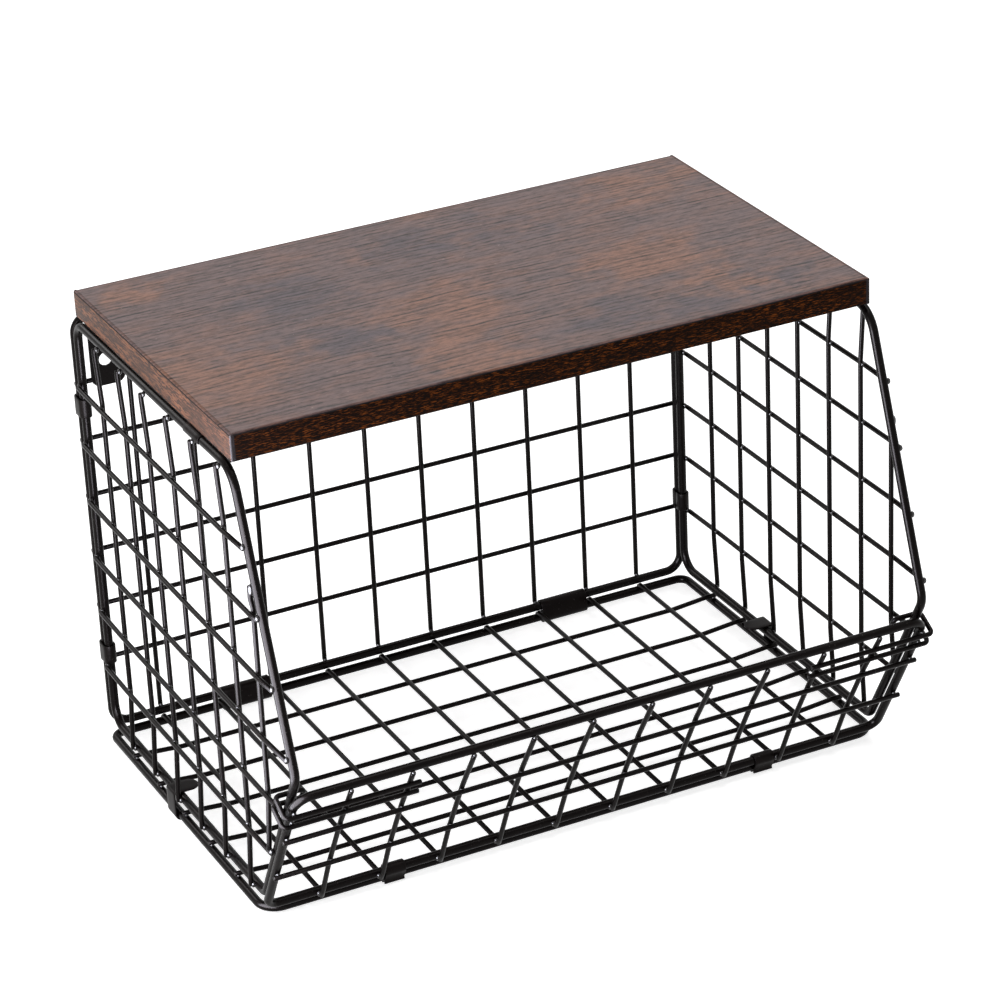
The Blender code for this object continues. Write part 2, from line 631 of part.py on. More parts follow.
def hanging_plate(name, side, parent):
    """A flat plate with a hole, just in front of the back's top level wire."""
    top = BACK_TOP_Z - RAIL - SEAT_GAP
    y = BACK_Y + LAP - WIRE - SEAT_GAP - SHEET / 2
    curve = bpy.data.curves.new(name, 'CURVE')
    curve.dimensions = '2D'
    curve.fill_mode = 'BOTH'
    curve.extrude = SHEET / 2
    half = side * PLATE_WIDTH / 2
    shoulder = BACK_CORNER_RADIUS - RAIL - SEAT_GAP
    low = top - PLATE_HEIGHT
    corners = [Vector((-half, low, 0)), Vector((half, low, 0)),
               Vector((half, top, 0)), Vector((-half, top, 0))]
    outline = rounded(corners, [PLATE_ROUNDING, PLATE_ROUNDING, shoulder, 0], closed=True, step=CLIP_ARC_STEP)
    turns = math.ceil(2 * math.pi / CLIP_ARC_STEP)
    centre = Vector((side * (PLATE_HOLE_ASIDE - PLATE_WIDTH / 2), top - PLATE_HOLE_BELOW, 0))
    edge = Vector((PLATE_HOLE_DIAMETER / 2, 0, 0))
    hole = [centre + Matrix.Rotation(2 * math.pi * k / turns, 3, 'Z') @ edge for k in range(turns)]
    for loop in (outline, hole):
        spline = curve.splines.new('POLY')
        spline.points.add(len(loop) - 1)
        for point, place_at in zip(spline.points, loop):
            point.co = (*place_at, 1)
        spline.use_cyclic_u = True
    item = bpy.data.objects.new(name, curve)
    inner_x = SIDE_RAIL_X - UPRIGHT_MARGIN + WIRE + PLATE_SIDE_GAP
    item.location = (side * (inner_x + PLATE_WIDTH / 2), y, 0)
    item.rotation_euler = (math.pi / 2, 0, 0)
    return place(to_mesh(item), name, pressed(name), parent)


# Board

def slab(name, low, high, finish, rounding, parent):
    """A box between two corners, with its edges rounded."""
    size = high - low
    bpy.ops.mesh.primitive_cube_add(size=1, location=(low + high) / 2)
    item = bpy.context.object
    item.data.transform(Matrix.Diagonal((*size, 1)))
    for group in list(item.users_collection):
        group.objects.unlink(item)
    soft = item.modifiers.new("edges", 'BEVEL')
    soft.width = rounding
    soft.segments = 2
    soft.limit_method = 'ANGLE'
    item.data.shade_smooth()
    item.data.set_sharp_from_angle(angle=math.radians(50))
    return place(item, name, finish, parent)


def board(parent):
    """The board's core and the four bands glued round its edge."""
    half = BOARD_WIDTH / 2
    rear = SIDE_REAR_Y + BOARD_REAR_INSET
    front = rear - BOARD_DEPTH
    low = BOARD_UNDERSIDE_Z
    high = low + BOARD_THICKNESS
    band = BAND_THICKNESS
    inner = band + BAND_SEAM
    core_finish = material("board_laminate", WALNUT, 0.5, 0.0)
    slab("top_board", Vector((-half + inner, front + inner, low)), Vector((half - inner, rear - inner, high)),
         core_finish, BAND_SEAM, parent)
    for name, edge in (("front_edge_band", front), ("rear_edge_band", rear - band)):
        slab(name, Vector((-half + inner, edge, low)), Vector((half - inner, edge + band, high)),
             material(name + "_laminate", EDGE_BROWN, 0.45, 0.0), BAND_SEAM, parent)
    for name, edge in (("left_edge_band", -half), ("right_edge_band", half - band)):
        slab(name, Vector((edge, front, low)), Vector((edge + band, rear, high)),
             material(name + "_laminate", EDGE_BROWN, 0.45, 0.0), BAND_SEAM, parent)


def build():
    """Build every piece under the rack's root empty."""
    root = empty("rack", (0, 0, 0))
    board(empty("board_lift", (0, SIDE_REAR_Y + BOARD_REAR_INSET - BOARD_DEPTH / 2, BOARD_UNDERSIDE_Z), root))
    bottom_frame(root)
    bottom_grid(root)
    back_frame(root)
    back_grid(root)
    front_frame(root)
    front_grid(root)
    lower = SIDE_WIRE_FIRST_Z + WIRE + LOWER_CLIP_GAP
    upper = BACK_TOP_Z - BACK_WIRE_TOP_MARGIN - WIRE - UPPER_CLIP_GAP - CORNER_CLIP_HEIGHT
    for name, side in (("left", -1), ("right", 1)):
        hinge = empty(name + "_side_hinge", (side * SIDE_RAIL_X, SIDE_REAR_Y, 0), root)
        side_frame(name + "_side_frame", side, hinge)
        side_grid(name + "_side_grid", side, hinge)
        board_clip(name + "_board_clip", side, hinge)
        hook(name + "_hook", side, root)
        rear_hinge_clip(name + "_rear_hinge_clip", side, root)
        front_hinge_clip(name + "_front_hinge_clip", side, root)
        side_tab(name + "_side_tab", side, root)
        corner_clip(name + "_lower_corner_clip", side, lower, root)
        corner_clip(name + "_upper_corner_clip", side, upper, root)
        hanging_plate(name + "_hanging_plate", side, root)
    return root


def seat_on_origin(root):
    """Move the rack so that the middle of its base box lies at the origin."""
    bpy.context.view_layer.update()
    graph = bpy.context.evaluated_depsgraph_get()
    points = []
    for item in PARTS.objects:
        if item.type == 'EMPTY':
            continue
        solid = item.evaluated_get(graph)
        points += [solid.matrix_world @ vertex.co for vertex in solid.to_mesh().vertices]
        solid.to_mesh_clear()
    low = Vector([min(point[k] for point in points) for k in range(3)])
    high = Vector([max(point[k] for point in points) for k in range(3)])
    root.location = (-(low.x + high.x) / 2, -(low.y + high.y) / 2, -low.z)
    bpy.context.view_layer.update()
    print("size", high - low, "moved by", root.location)


seat_on_origin(build())
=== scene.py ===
# %% [markdown]
# # A folding wire rack with a wooden board on top
#
# The rack is a basket of welded steel wire with a black powder coat. Five flat panels make it: a
# bottom, a back, a low front that leans outwards and two sides. Thick wire is bent into a loop round
# each panel, thin wire fills it as a grid, and folded sheet clips join the panels. A board with a
# printed wood face and glued edge bands lies on top.
#
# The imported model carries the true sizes, so it is loaded first and everything else is fitted to it.

import math

import bmesh
import bpy
import numpy as np
from mathutils import Matrix, Vector


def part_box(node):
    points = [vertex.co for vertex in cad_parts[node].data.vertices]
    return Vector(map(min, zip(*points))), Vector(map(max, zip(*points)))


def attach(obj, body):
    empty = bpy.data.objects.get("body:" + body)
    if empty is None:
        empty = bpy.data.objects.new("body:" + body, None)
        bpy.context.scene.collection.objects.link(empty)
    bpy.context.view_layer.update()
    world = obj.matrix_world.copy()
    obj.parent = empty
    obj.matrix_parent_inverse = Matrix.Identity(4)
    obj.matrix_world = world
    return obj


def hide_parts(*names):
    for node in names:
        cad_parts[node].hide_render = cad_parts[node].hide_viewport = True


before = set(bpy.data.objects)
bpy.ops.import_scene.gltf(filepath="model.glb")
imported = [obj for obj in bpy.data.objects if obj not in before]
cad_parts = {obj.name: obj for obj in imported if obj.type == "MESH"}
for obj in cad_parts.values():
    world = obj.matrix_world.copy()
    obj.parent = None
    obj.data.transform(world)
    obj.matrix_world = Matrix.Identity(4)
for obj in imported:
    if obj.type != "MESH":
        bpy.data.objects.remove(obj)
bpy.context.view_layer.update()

# %% [markdown]
# ## Sizes
#
# The rack is drawn in its own coordinates, in metres: the floor at zero, the front towards -Y.
# RAIL, WIRE and COATED_WIRE are radii: the coat makes a thin wire a little thicker than its steel.
# LAP is the distance from the middle of a rail to the middle of a wire on its face. Two corners of
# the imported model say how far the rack's coordinates lie from the frame's.

# %% Stock and panels
MM = 0.001
RAIL = 2.5 * MM
WIRE = 1.25 * MM
COATED_WIRE = 1.42 * MM
SHEET = 0.9 * MM
SEAT_GAP = 0.3 * MM
CROSSING = 2.0625 * MM
LAP = RAIL + SEAT_GAP + 2 * WIRE - COATED_WIRE
CLIP_RADIUS = RAIL + SEAT_GAP + SHEET / 2

BOARD_WIDTH = 375.0 * MM
BOARD_DEPTH = 219.0 * MM
BOARD_THICKNESS = 15.0 * MM
BAND = 2.0 * MM
BAND_SEAM = 0.1 * MM

SIDE_X = BOARD_WIDTH / 2
SIDE_REAR_Y = 132.6 * MM
SIDE_BOTTOM_Z = 13.0 * MM
SIDE_TOP_Z = 263.5 * MM
SIDE_TOP_FRONT_Y = -85.3 * MM
SIDE_OUTER_X = SIDE_X + LAP
BACK_Y = SIDE_REAR_Y + 5.3 * MM
BACK_BOTTOM_Z = 9.0 * MM
BOARD_UNDERSIDE_Z = SIDE_TOP_Z + RAIL + SEAT_GAP + SHEET + SEAT_GAP
BACK_TOP_Z = BOARD_UNDERSIDE_Z - SEAT_GAP - RAIL
BOTTOM_X = SIDE_X + 1.5 * MM
BOTTOM_REAR_Y = BACK_Y - 1.5 * MM
FRONT_BOTTOM_Y = -87.9 * MM
FRONT_BOTTOM_Z = 7.5 * MM
FRONT_HEIGHT = 104.4 * MM
BOTTOM_FRONT_Y = FRONT_BOTTOM_Y + 2.8 * MM
FRONT_LEAN = math.radians(29.5)
SIDE_LEAN = math.radians(19.5)
SIDE_TO_FRONT = 5.7 * MM
RAIL_LIFT = 0.5 * MM
HANDS = (("left", -1), ("right", 1))
print("rack's width over the side rails:", round(2 * (SIDE_X + RAIL) / MM, 1), "mm")

# %% Place in the frame
BOARD_REAR_Y = SIDE_REAR_Y + 0.8 * MM
BOARD_FRONT_Y = BOARD_REAR_Y - BOARD_DEPTH
ORIGIN = np.array([0.0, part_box("front_edge_band")[0].y - BOARD_FRONT_Y,
                   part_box("top_board")[0].z - BOARD_UNDERSIDE_Z])
FRONT_UP = np.array([0, -math.sin(FRONT_LEAN), math.cos(FRONT_LEAN)])
FRONT_OUT = np.array([0, -math.cos(FRONT_LEAN), -math.sin(FRONT_LEAN)])
X = np.array([1.0, 0.0, 0.0])
Y = np.array([0.0, 1.0, 0.0])
Z = np.array([0.0, 0.0, 1.0])
print("origin in the frame, mm:", np.round(ORIGIN / MM, 3))

# %% [markdown]
# ## Camera
#
# A camera is a place, a direction and a lens. The photograph looks down at the rack's front left
# corner through a long lens, which keeps the far edges nearly parallel to the near ones. The view
# is also turned a little about its own axis, so the uprights lean in the picture.

# %% Camera
VIEW_AZIMUTH = 0.44307
VIEW_ELEVATION = 0.45575
VIEW_ROLL = -0.04898
VIEW_PLACE = np.array([-0.81358, -1.71723, 1.09325])
VIEW_FOCAL_PIXELS = 3838.5
PHOTO_PIXELS = 1000
SENSOR_MM = 36.0


def aim_camera():
    """Forward, right and up follow from the three angles; the lens from the focal length in pixels."""
    ahead = Vector((math.sin(VIEW_AZIMUTH) * math.cos(VIEW_ELEVATION),
                    math.cos(VIEW_AZIMUTH) * math.cos(VIEW_ELEVATION), -math.sin(VIEW_ELEVATION)))
    level = Vector((math.cos(VIEW_AZIMUTH), -math.sin(VIEW_AZIMUTH), 0))
    above = level.cross(ahead)
    right = math.cos(VIEW_ROLL) * level + math.sin(VIEW_ROLL) * above
    up = math.cos(VIEW_ROLL) * above - math.sin(VIEW_ROLL) * level
    data = bpy.data.cameras.new("camera")
    data.sensor_width = SENSOR_MM
    data.lens = VIEW_FOCAL_PIXELS * SENSOR_MM / PHOTO_PIXELS
    data.clip_start = 0.05
    data.clip_end = 30.0
    camera = bpy.data.objects.new("camera", data)
    camera.matrix_world = Matrix((right, up, -ahead)).transposed().to_4x4()
    camera.location = VIEW_PLACE + ORIGIN
    bpy.context.scene.collection.objects.link(camera)
    bpy.context.scene.camera = camera
    return camera


print("lens", round(aim_camera().data.lens, 1), "mm")

# %% [markdown]
# ## Surfaces from arrays
#
# Every new piece is a grid of points worked out with numpy. A patch is an array of rings: one index
# runs along the piece and the other round it. A wire is a circle carried along a path, a weld bead
# is a squashed ball, and a clip is a line carried across its own width. The builder turns patches
# into one mesh and keeps a number at each point that says how much weld there is.

# %% Patches into a mesh
SHARP_ANGLE = math.radians(60)


def patch_faces(rows, columns, wrap_rows, wrap_columns):
    """Quads between neighbouring rings, wrapped where the patch closes.

    Their corners are (i, j), (i, j + 1), (i + 1, j + 1) and (i + 1, j).
    """
    i, j = np.meshgrid(np.arange(rows if wrap_rows else rows - 1),
                       np.arange(columns if wrap_columns else columns - 1), indexing="ij")
    below = (i + 1) % rows
    beside = (j + 1) % columns
    corners = [i * columns + j, i * columns + beside, below * columns + beside, below * columns + j]
    return np.stack(corners, -1).reshape(-1, 4)


def patch(points, wrap_rows=False, wrap_columns=True, weld=0.0):
    """A patch is its points, how it closes, and its share of weld."""
    return {"points": points, "wrap_rows": wrap_rows, "wrap_columns": wrap_columns, "weld": weld}


def build_mesh(name, patches):
    """Join patches into one mesh object; an open tube is closed by one flat face at each end."""
    points, faces, weld, start = [], [], [], 0
    for item in patches:
        rows, columns = item["points"].shape[:2]
        quads = patch_faces(rows, columns, item["wrap_rows"], item["wrap_columns"]) + start
        faces += quads.tolist()
        if item["wrap_columns"] and not item["wrap_rows"]:
            faces.append(list(range(start, start + columns)))
            faces.append(list(range(start + (rows - 1) * columns, start + rows * columns)))
        points.append(item["points"].reshape(-1, 3))
        weld.append(np.full(rows * columns, item["weld"], dtype=np.float32))
        start += rows * columns
    mesh = bpy.data.meshes.new(name)
    mesh.from_pydata((np.concatenate(points) + ORIGIN).tolist(), [], faces)
    mesh.attributes.new("weld", "FLOAT", "POINT").data.foreach_set("value", np.concatenate(weld))
    work = bmesh.new()
    work.from_mesh(mesh)
    bmesh.ops.recalc_face_normals(work, faces=work.faces)
    work.to_mesh(mesh)
    work.free()
    mesh.shade_smooth()
    mesh.set_sharp_from_angle(angle=SHARP_ANGLE)
    piece = bpy.data.objects.new(name, mesh)
    bpy.context.scene.collection.objects.link(piece)
    return piece


print("faces of a closed ring of four by six points:", len(patch_faces(4, 6, True, True)))

# %% Paths and tubes
ARC_STEPS = 9
RAIL_AROUND = 28
WIRE_AROUND = 16
END_SHARES = ((0.0, 0.62), (0.10, 0.86), (0.35, 1.0))


def unit(vectors):
    """Vectors divided by their own lengths."""
    vectors = np.asarray(vectors, dtype=float)
    return vectors / np.linalg.norm(vectors, axis=-1, keepdims=True)


def corner_arc(before, corner, after, radius, steps=ARC_STEPS):
    """An arc that touches both legs: its centre lies on the bisector at radius / sin(half angle)."""
    towards, onwards = unit(before - corner), unit(after - corner)
    half = math.acos(np.clip(towards @ onwards, -1, 1)) / 2
    centre = corner + unit(towards + onwards) * radius / math.sin(half)
    start = corner + towards * radius / math.tan(half) - centre
    aside = unit(np.cross(np.cross(towards, onwards), start)) * radius
    if aside @ (corner + onwards * radius / math.tan(half) - centre) < 0:
        aside = -aside
    angle = np.linspace(0, math.pi - 2 * half, steps)[:, None]
    return centre + np.cos(angle) * start + np.sin(angle) * aside


def route(corners, radii, closed=False, steps=ARC_STEPS):
    """A path through corners, each rounded by an arc; radius zero keeps the point."""
    corners = np.asarray(corners, dtype=float)
    parts = []
    for k, radius in enumerate(radii):
        if radius == 0 or (not closed and k in (0, len(radii) - 1)):
            parts.append(corners[k][None])
        else:
            after = corners[(k + 1) % len(corners)]
            parts.append(corner_arc(corners[k - 1], corners[k], after, radius, steps))
    return np.concatenate(parts)


def tube(path, radius, guide, closed=False, around=WIRE_AROUND, weld=0.0):
    """A circle carried along a path: point = path + radius (cos t * side + sin t * above).

    side is the guide crossed with the direction of travel, so a flat path keeps its circle upright.
    An open tube gets three short rings at each end, which round off the cut wire; END_SHARES gives
    their depths and widths as shares of the radius.
    """
    radii = np.full(len(path), radius)
    if not closed:
        depth = np.array([share for share, _ in END_SHARES])[:, None] * radius
        width = np.array([share for _, share in END_SHARES]) * radius
        first, last = unit(path[1] - path[0]), unit(path[-2] - path[-1])
        path = np.concatenate([path[0] + first * depth, path[1:-1], (path[-1] + last * depth)[::-1]])
        radii = np.concatenate([width, radii[1:-1], width[::-1]])
    steps = unit(np.roll(path, -1, 0) - path)
    if not closed:
        steps[-1] = steps[-2]
    back = np.roll(steps, 1, 0)
    if not closed:
        back[0] = steps[0]
    travel = unit(steps + back)
    side = unit(np.cross(guide, travel))
    above = np.cross(travel, side)
    angle = np.linspace(0, 2 * math.pi, around, endpoint=False)[None, :, None]
    ring = np.cos(angle) * side[:, None] + np.sin(angle) * above[:, None]
    return patch(path[:, None] + radii[:, None, None] * ring, wrap_rows=closed, weld=weld)


print("points round a rail:", RAIL_AROUND, "round a wire:", WIRE_AROUND)

# %% [markdown]
# ## Weld beads
#
# Where two wires cross, a spot welder squeezes them into each other and a little melted steel
# swells round the joint. Under the coat it shows as a small shiny bump. A squashed ball at each
# crossing gives that swelling with a few dozen faces, and its weld value makes its coat glossier and its
# colour lighter, a painted highlight.

# %% Beads
BEAD_ROWS = 6
BEAD_COLUMNS = 10
BEAD_TIP = 0.12
CROSS_BEAD = (1.64 * MM, 1.64 * MM, 1.45 * MM)
END_BEAD = (1.40 * MM, 1.75 * MM, 1.30 * MM)
PAD_BEAD = (1.65 * MM, 3.6 * MM, 1.65 * MM)


def beads(centres, axes, sizes):
    """Squashed balls: centre + sum of axis * size * (sin p cos t, sin p sin t, cos p).

    p runs from BEAD_TIP to pi less BEAD_TIP, so a small flat face closes each end.
    """
    polar = np.linspace(BEAD_TIP, math.pi - BEAD_TIP, BEAD_ROWS)[:, None]
    turn = np.linspace(0, 2 * math.pi, BEAD_COLUMNS, endpoint=False)[None, :]
    ball = np.stack([np.sin(polar) * np.cos(turn), np.sin(polar) * np.sin(turn),
                     np.cos(polar) * np.ones_like(turn)], -1)
    shape = (ball * np.array(sizes)) @ np.stack(axes)
    return [patch(shape + centre, weld=1.0) for centre in np.asarray(centres, dtype=float)]


print("bead at a crossing, mm:", np.round(np.array(CROSS_BEAD) / MM, 2))

# %% [markdown]
# ## Shader maths
#
# A material is a graph of nodes. Written as Python, a pattern reads like a formula: this class wraps
# one output of a node, and adding, multiplying or comparing it puts the matching Math node into the
# tree. One function makes every other kind of node.

# %% Expressions on sockets
class Field:
    """One socket of a node tree. Arithmetic on it adds Math nodes."""

    def __init__(self, tree, socket):
        self.tree = tree
        self.socket = socket

    def math(self, operation, *values, clamp=False):
        node = self.tree.nodes.new("ShaderNodeMath")
        node.operation = operation
        node.use_clamp = clamp
        for place, value in zip(node.inputs, values):
            feed(self.tree, place, value)
        return Field(self.tree, node.outputs[0])

    def __add__(self, other):
        return self.math("ADD", self, other)

    def __radd__(self, other):
        return self.math("ADD", other, self)

    def __sub__(self, other):
        return self.math("SUBTRACT", self, other)

    def __rsub__(self, other):
        return self.math("SUBTRACT", other, self)

    def __mul__(self, other):
        return self.math("MULTIPLY", self, other)

    def __rmul__(self, other):
        return self.math("MULTIPLY", other, self)

    def __truediv__(self, other):
        return self.math("DIVIDE", self, other)

    def __rtruediv__(self, other):
        return self.math("DIVIDE", other, self)

    def clamped(self):
        return self.math("ADD", self, 0.0, clamp=True)

    def bigger(self, other):
        return self.math("MAXIMUM", self, other)

    def smooth(self, low, high):
        """0 below low, 1 above high, with an eased rise between them."""
        settings = {"interpolation_type": "SMOOTHSTEP"}
        sockets = {"Value": self, "From Min": low, "From Max": high}
        return node(self.tree, "ShaderNodeMapRange", settings, sockets)


def feed(tree, place, value):
    """Link a field to a socket, or set the socket's own value."""
    if isinstance(value, Field):
        tree.links.new(value.socket, place)
    else:
        place.default_value = value


def feed_all(tree, made, values):
    """Feed several sockets of one node."""
    for key, value in values.items():
        feed(tree, made.inputs[key], value)


def node(tree, kind, settings=None, inputs=None, output=0):
    """Any node: its settings first, then the values or links of its sockets."""
    made = tree.nodes.new(kind)
    for key, value in (settings or {}).items():
        setattr(made, key, value)
    feed_all(tree, made, inputs or {})
    return Field(tree, made.outputs[output])


def mix(tree, factor, first, second):
    """Blend two colours."""
    return node(tree, "ShaderNodeMix", {"data_type": "RGBA"}, {0: factor, 6: first, 7: second}, output=2)


def vector_math(tree, operation, *values, output=0):
    """One Vector Math node."""
    return node(tree, "ShaderNodeVectorMath", {"operation": operation}, dict(enumerate(values)), output)


def coordinate(tree, where, axis):
    """One coordinate of a point: 0 across, 1 in depth, 2 up."""
    return node(tree, "ShaderNodeSeparateXYZ", None, {"Vector": where}, output=axis)


def noise(tree, where, scale, detail=2.0, roughness=0.5, stretch=None):
    """Noise on object coordinates, drawn out along an axis where stretch is given; scale is per metre."""
    if stretch:
        where = node(tree, "ShaderNodeMapping", None, {"Vector": where, "Scale": stretch})
    sockets = {"Vector": where, "Scale": scale, "Detail": detail, "Roughness": roughness}
    return node(tree, "ShaderNodeTexNoise", None, sockets)


def new_material(name):
    """A material with its Principled shader, its tree and its object coordinates."""
    made = bpy.data.materials.new(name)
    made.use_nodes = True
    tree = made.node_tree
    return made, tree, tree.nodes["Principled BSDF"], node(tree, "ShaderNodeTexCoord", output="Object")


def finish_surface(tree, shader, shine, colour, roughness, height, relief, strength):
    """Set the shine and link what changes over the surface: colour, roughness and a bump for the normal."""
    bump = node(tree, "ShaderNodeBump", None, {"Height": height, "Distance": relief, "Strength": strength})
    feed_all(tree, shader, {"Specular IOR Level": shine, "Base Color": colour, "Roughness": roughness,
                            "Normal": bump})


# %% [markdown]
# ## Black powder coat
#
# Powder coat is baked paint: nearly black, half matt, with a faint orange-peel texture and tiny
# specks of dust baked in. It pools smooth over the weld beads, so they catch the light first: a clear
# coat on the shader grows with the weld value, and the beads' base colour is painted lighter as a
# highlight. Soft noise changes the roughness from place to place, fine noise makes the peel, and a
# few bright specks liven the long plain wires. The gloss is kept low, because the white surroundings would
# otherwise turn the black grey.

# %% Coats and dressing
COAT_BLACK = (0.0018, 0.0011, 0.0010, 1)
COAT_WORN = (0.0085, 0.0056, 0.0050, 1)
COAT_SPECK = (0.050, 0.044, 0.042, 1)
COAT_WELD_HIGHLIGHT = (0.030, 0.027, 0.028, 1)
COAT_TINT = (1.0, 0.92, 0.91, 1)
COAT_SHINE = 0.072
RAIL_ROUGHNESS = 0.27
WIRE_ROUGHNESS = 0.30
CLIP_ROUGHNESS = 0.38
CLIP_LIFT = 0.20
WELD_SHINE = 0.55
WELD_ROUGHNESS = 0.14
CLOUD_SCALE = 60.0
PEEL_SCALE = 1400.0
SPECK_SCALE = 900.0
PEEL_HEIGHT = 0.06 * MM
PEEL_STRENGTH = 0.07


def powder_coat(name, roughness, lift=0.0):
    """Black coat; lift pales it a little, for pressed sheet that was coated thicker."""
    made, tree, shader, where = new_material(name)
    weld = node(tree, "ShaderNodeAttribute", {"attribute_name": "weld"}, output="Fac")
    cloud = noise(tree, where, CLOUD_SCALE, 3.0)
    peel = noise(tree, where, PEEL_SCALE, 2.0, 0.6)
    specks = noise(tree, where, SPECK_SCALE, 0.0).smooth(0.76, 0.82)
    colour = mix(tree, (cloud - 0.35).clamped() * 0.5 + lift, COAT_BLACK, COAT_WORN)
    colour = mix(tree, specks * 0.5, colour, COAT_SPECK)
    # painted highlight: the weld beads' base colour is lightened to stand for their glint
    colour = mix(tree, weld, colour, COAT_WELD_HIGHLIGHT)
    rough = roughness + (cloud - 0.5) * 0.12 + (peel - 0.5) * 0.06 - weld * 0.10
    feed_all(tree, shader, {"Specular Tint": COAT_TINT, "Coat Roughness": WELD_ROUGHNESS,
                            "Coat Weight": weld * WELD_SHINE})
    finish_surface(tree, shader, COAT_SHINE, colour, rough, peel + cloud * 0.5, PEEL_HEIGHT, PEEL_STRENGTH)
    return made


def dress(piece, body, cad_node, coat):
    """Give a piece its coat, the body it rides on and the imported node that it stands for."""
    piece.data.materials.append(coat)
    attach(piece, body)
    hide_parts(cad_node)
    return piece


RAIL_COAT = powder_coat("rail_powder_coat", RAIL_ROUGHNESS)
WIRE_COAT = powder_coat("wire_powder_coat", WIRE_ROUGHNESS)
CLIP_COAT = powder_coat("clip_powder_coat", CLIP_ROUGHNESS, CLIP_LIFT)
print("coats:", RAIL_COAT.name, WIRE_COAT.name, CLIP_COAT.name)

# %% [markdown]
# ## Rail loops
#
# Each panel is held by one loop of 5 mm wire, bent round at the corners and butt welded. A closed
# path with an arc at every corner, and a circle carried along it, gives one surface with no ends.
# The side loop has five corners: its front leans forwards from the board down to the bend and then
# backwards to the floor, parallel to the front panel. Its top lies close under the board.

# %% Loops
BACK_CORNERS = [10.0 * MM] * 4
BOTTOM_CORNERS = [6.5 * MM, 11.0 * MM, 11.0 * MM, 6.5 * MM]
FRONT_CORNERS = [7.0 * MM, 10.0 * MM, 10.0 * MM, 7.0 * MM]
SIDE_CORNERS = [12.0 * MM, 11.0 * MM, 18.0 * MM, 12.0 * MM, 8.0 * MM]
HEAD_SLOPE = math.tan(SIDE_LEAN)
FOOT_SLOPE = math.tan(FRONT_LEAN)
SLANT_FOOT_Y = FRONT_BOTTOM_Y + SIDE_TO_FRONT / math.cos(FRONT_LEAN)
BEND_Z = ((SLANT_FOOT_Y + FOOT_SLOPE * FRONT_BOTTOM_Z - SIDE_TOP_FRONT_Y + HEAD_SLOPE * SIDE_TOP_Z)
          / (HEAD_SLOPE + FOOT_SLOPE))


def loop(name, corners, radii, guide, body, cad_node):
    """A closed rail through rounded corners."""
    path = route(corners, radii, closed=True)
    piece = build_mesh(name, [tube(path, RAIL, guide, closed=True, around=RAIL_AROUND)])
    return dress(piece, body, cad_node, RAIL_COAT)


def front_point(x, up, out):
    """A point of the front panel: across, up its slope and out of its plane."""
    return np.array([x, FRONT_BOTTOM_Y, FRONT_BOTTOM_Z]) + FRONT_UP * up + FRONT_OUT * out


def slant_y(z):
    """Depth of the side's front rail at a height, on whichever slant is in force there."""
    if z > BEND_Z:
        return SIDE_TOP_FRONT_Y - HEAD_SLOPE * (SIDE_TOP_Z - z)
    return SLANT_FOOT_Y - FOOT_SLOPE * (z - FRONT_BOTTOM_Z)


def rectangle(x, low, high):
    """Four corners of a panel that is symmetric in X."""
    return [(-x, *low), (-x, *high), (x, *high), (x, *low)]


def side_loop(hand, side):
    """The side's loop, from its lower rear corner round over the top to its foot at the front."""
    x = side * SIDE_X
    top = SIDE_TOP_Z + RAIL_LIFT
    corners = [(x, SIDE_REAR_Y, SIDE_BOTTOM_Z), (x, SIDE_REAR_Y, top), (x, slant_y(top), top),
               (x, slant_y(BEND_Z), BEND_Z), (x, slant_y(SIDE_BOTTOM_Z), SIDE_BOTTOM_Z)]
    loop(hand + "_side_rail_loop", corners, SIDE_CORNERS, X, hand + "_side", hand + "_side_frame")


BACK_SHAPE = rectangle(SIDE_X, (BACK_Y, BACK_BOTTOM_Z), (BACK_Y, BACK_TOP_Z))
BOTTOM_SHAPE = rectangle(BOTTOM_X, (BOTTOM_REAR_Y, RAIL), (BOTTOM_FRONT_Y, RAIL))
FRONT_SHAPE = rectangle(BOTTOM_X, front_point(0, 0, 0)[1:], front_point(0, FRONT_HEIGHT, 0)[1:])
loop("back_rail_loop", BACK_SHAPE, BACK_CORNERS, Y, "basket", "back_frame")
loop("bottom_rail_loop", BOTTOM_SHAPE, BOTTOM_CORNERS, Z, "basket", "bottom_frame")
loop("front_rail_loop", FRONT_SHAPE, FRONT_CORNERS, FRONT_OUT, "basket", "front_frame")
for hand, side in HANDS:
    side_loop(hand, side)
print("bend of the side's front rail at", round(BEND_Z / MM, 1), "mm")

# %% [markdown]
# ## Wire grids
#
# Inside each loop, thin wires cross in a grid. One set lies on the outer face of the rails and the
# other just inside it, so the ends of the inner set are kinked to reach the rail. Each wire is a
# path with small arcs at its kinks, and a bead sits at each crossing and at each end on a rail. The
# welder sinks the ends a little into the rails, and presses some of the side's ends further down.

# %% Grid helpers
KINK = 4.0 * MM
KINK_RISE = 4.5 * MM
KINK_RADIUS = 2.2 * MM
PAST = 0.8 * MM
SINK = 0.10 * MM
PRESS = 0.60 * MM
EASE = 3.0 * MM
SHORT_REAR = 1.5 * MM
SHORT_FRONT = 0.9 * MM
SHORT_FOOT = 1.2 * MM
SHORT_TOP = 1.6 * MM
SHORT_BOTTOM = 1.0 * MM
PAST_BACK = 1.5 * MM
PAST_BOTTOM = 1.8 * MM
PAST_FRONT = 3.0 * MM
LEVELS = 6
FIRST_LEVEL = 50.0 * MM
ACROSS = 10


def bent(corners):
    """A thin wire's path with every inner corner eased by the same small arc."""
    return route(corners, [0] + [KINK_RADIUS] * (len(corners) - 2) + [0], steps=4)


def grid(name, paths, guides, crossings, ends, axes, body, cad_node, pads=()):
    """A panel's thin wires with their crossing beads, end beads and long weld pads, in one mesh."""
    patches = [tube(path, COATED_WIRE, guide) for path, guide in zip(paths, guides)]
    patches += beads(crossings, axes, CROSS_BEAD) + beads(ends, axes, END_BEAD) + beads(pads, axes, PAD_BEAD)
    print(name, len(paths), "wires,", len(crossings), "crossings")
    return dress(build_mesh(name, patches), body, cad_node, WIRE_COAT)


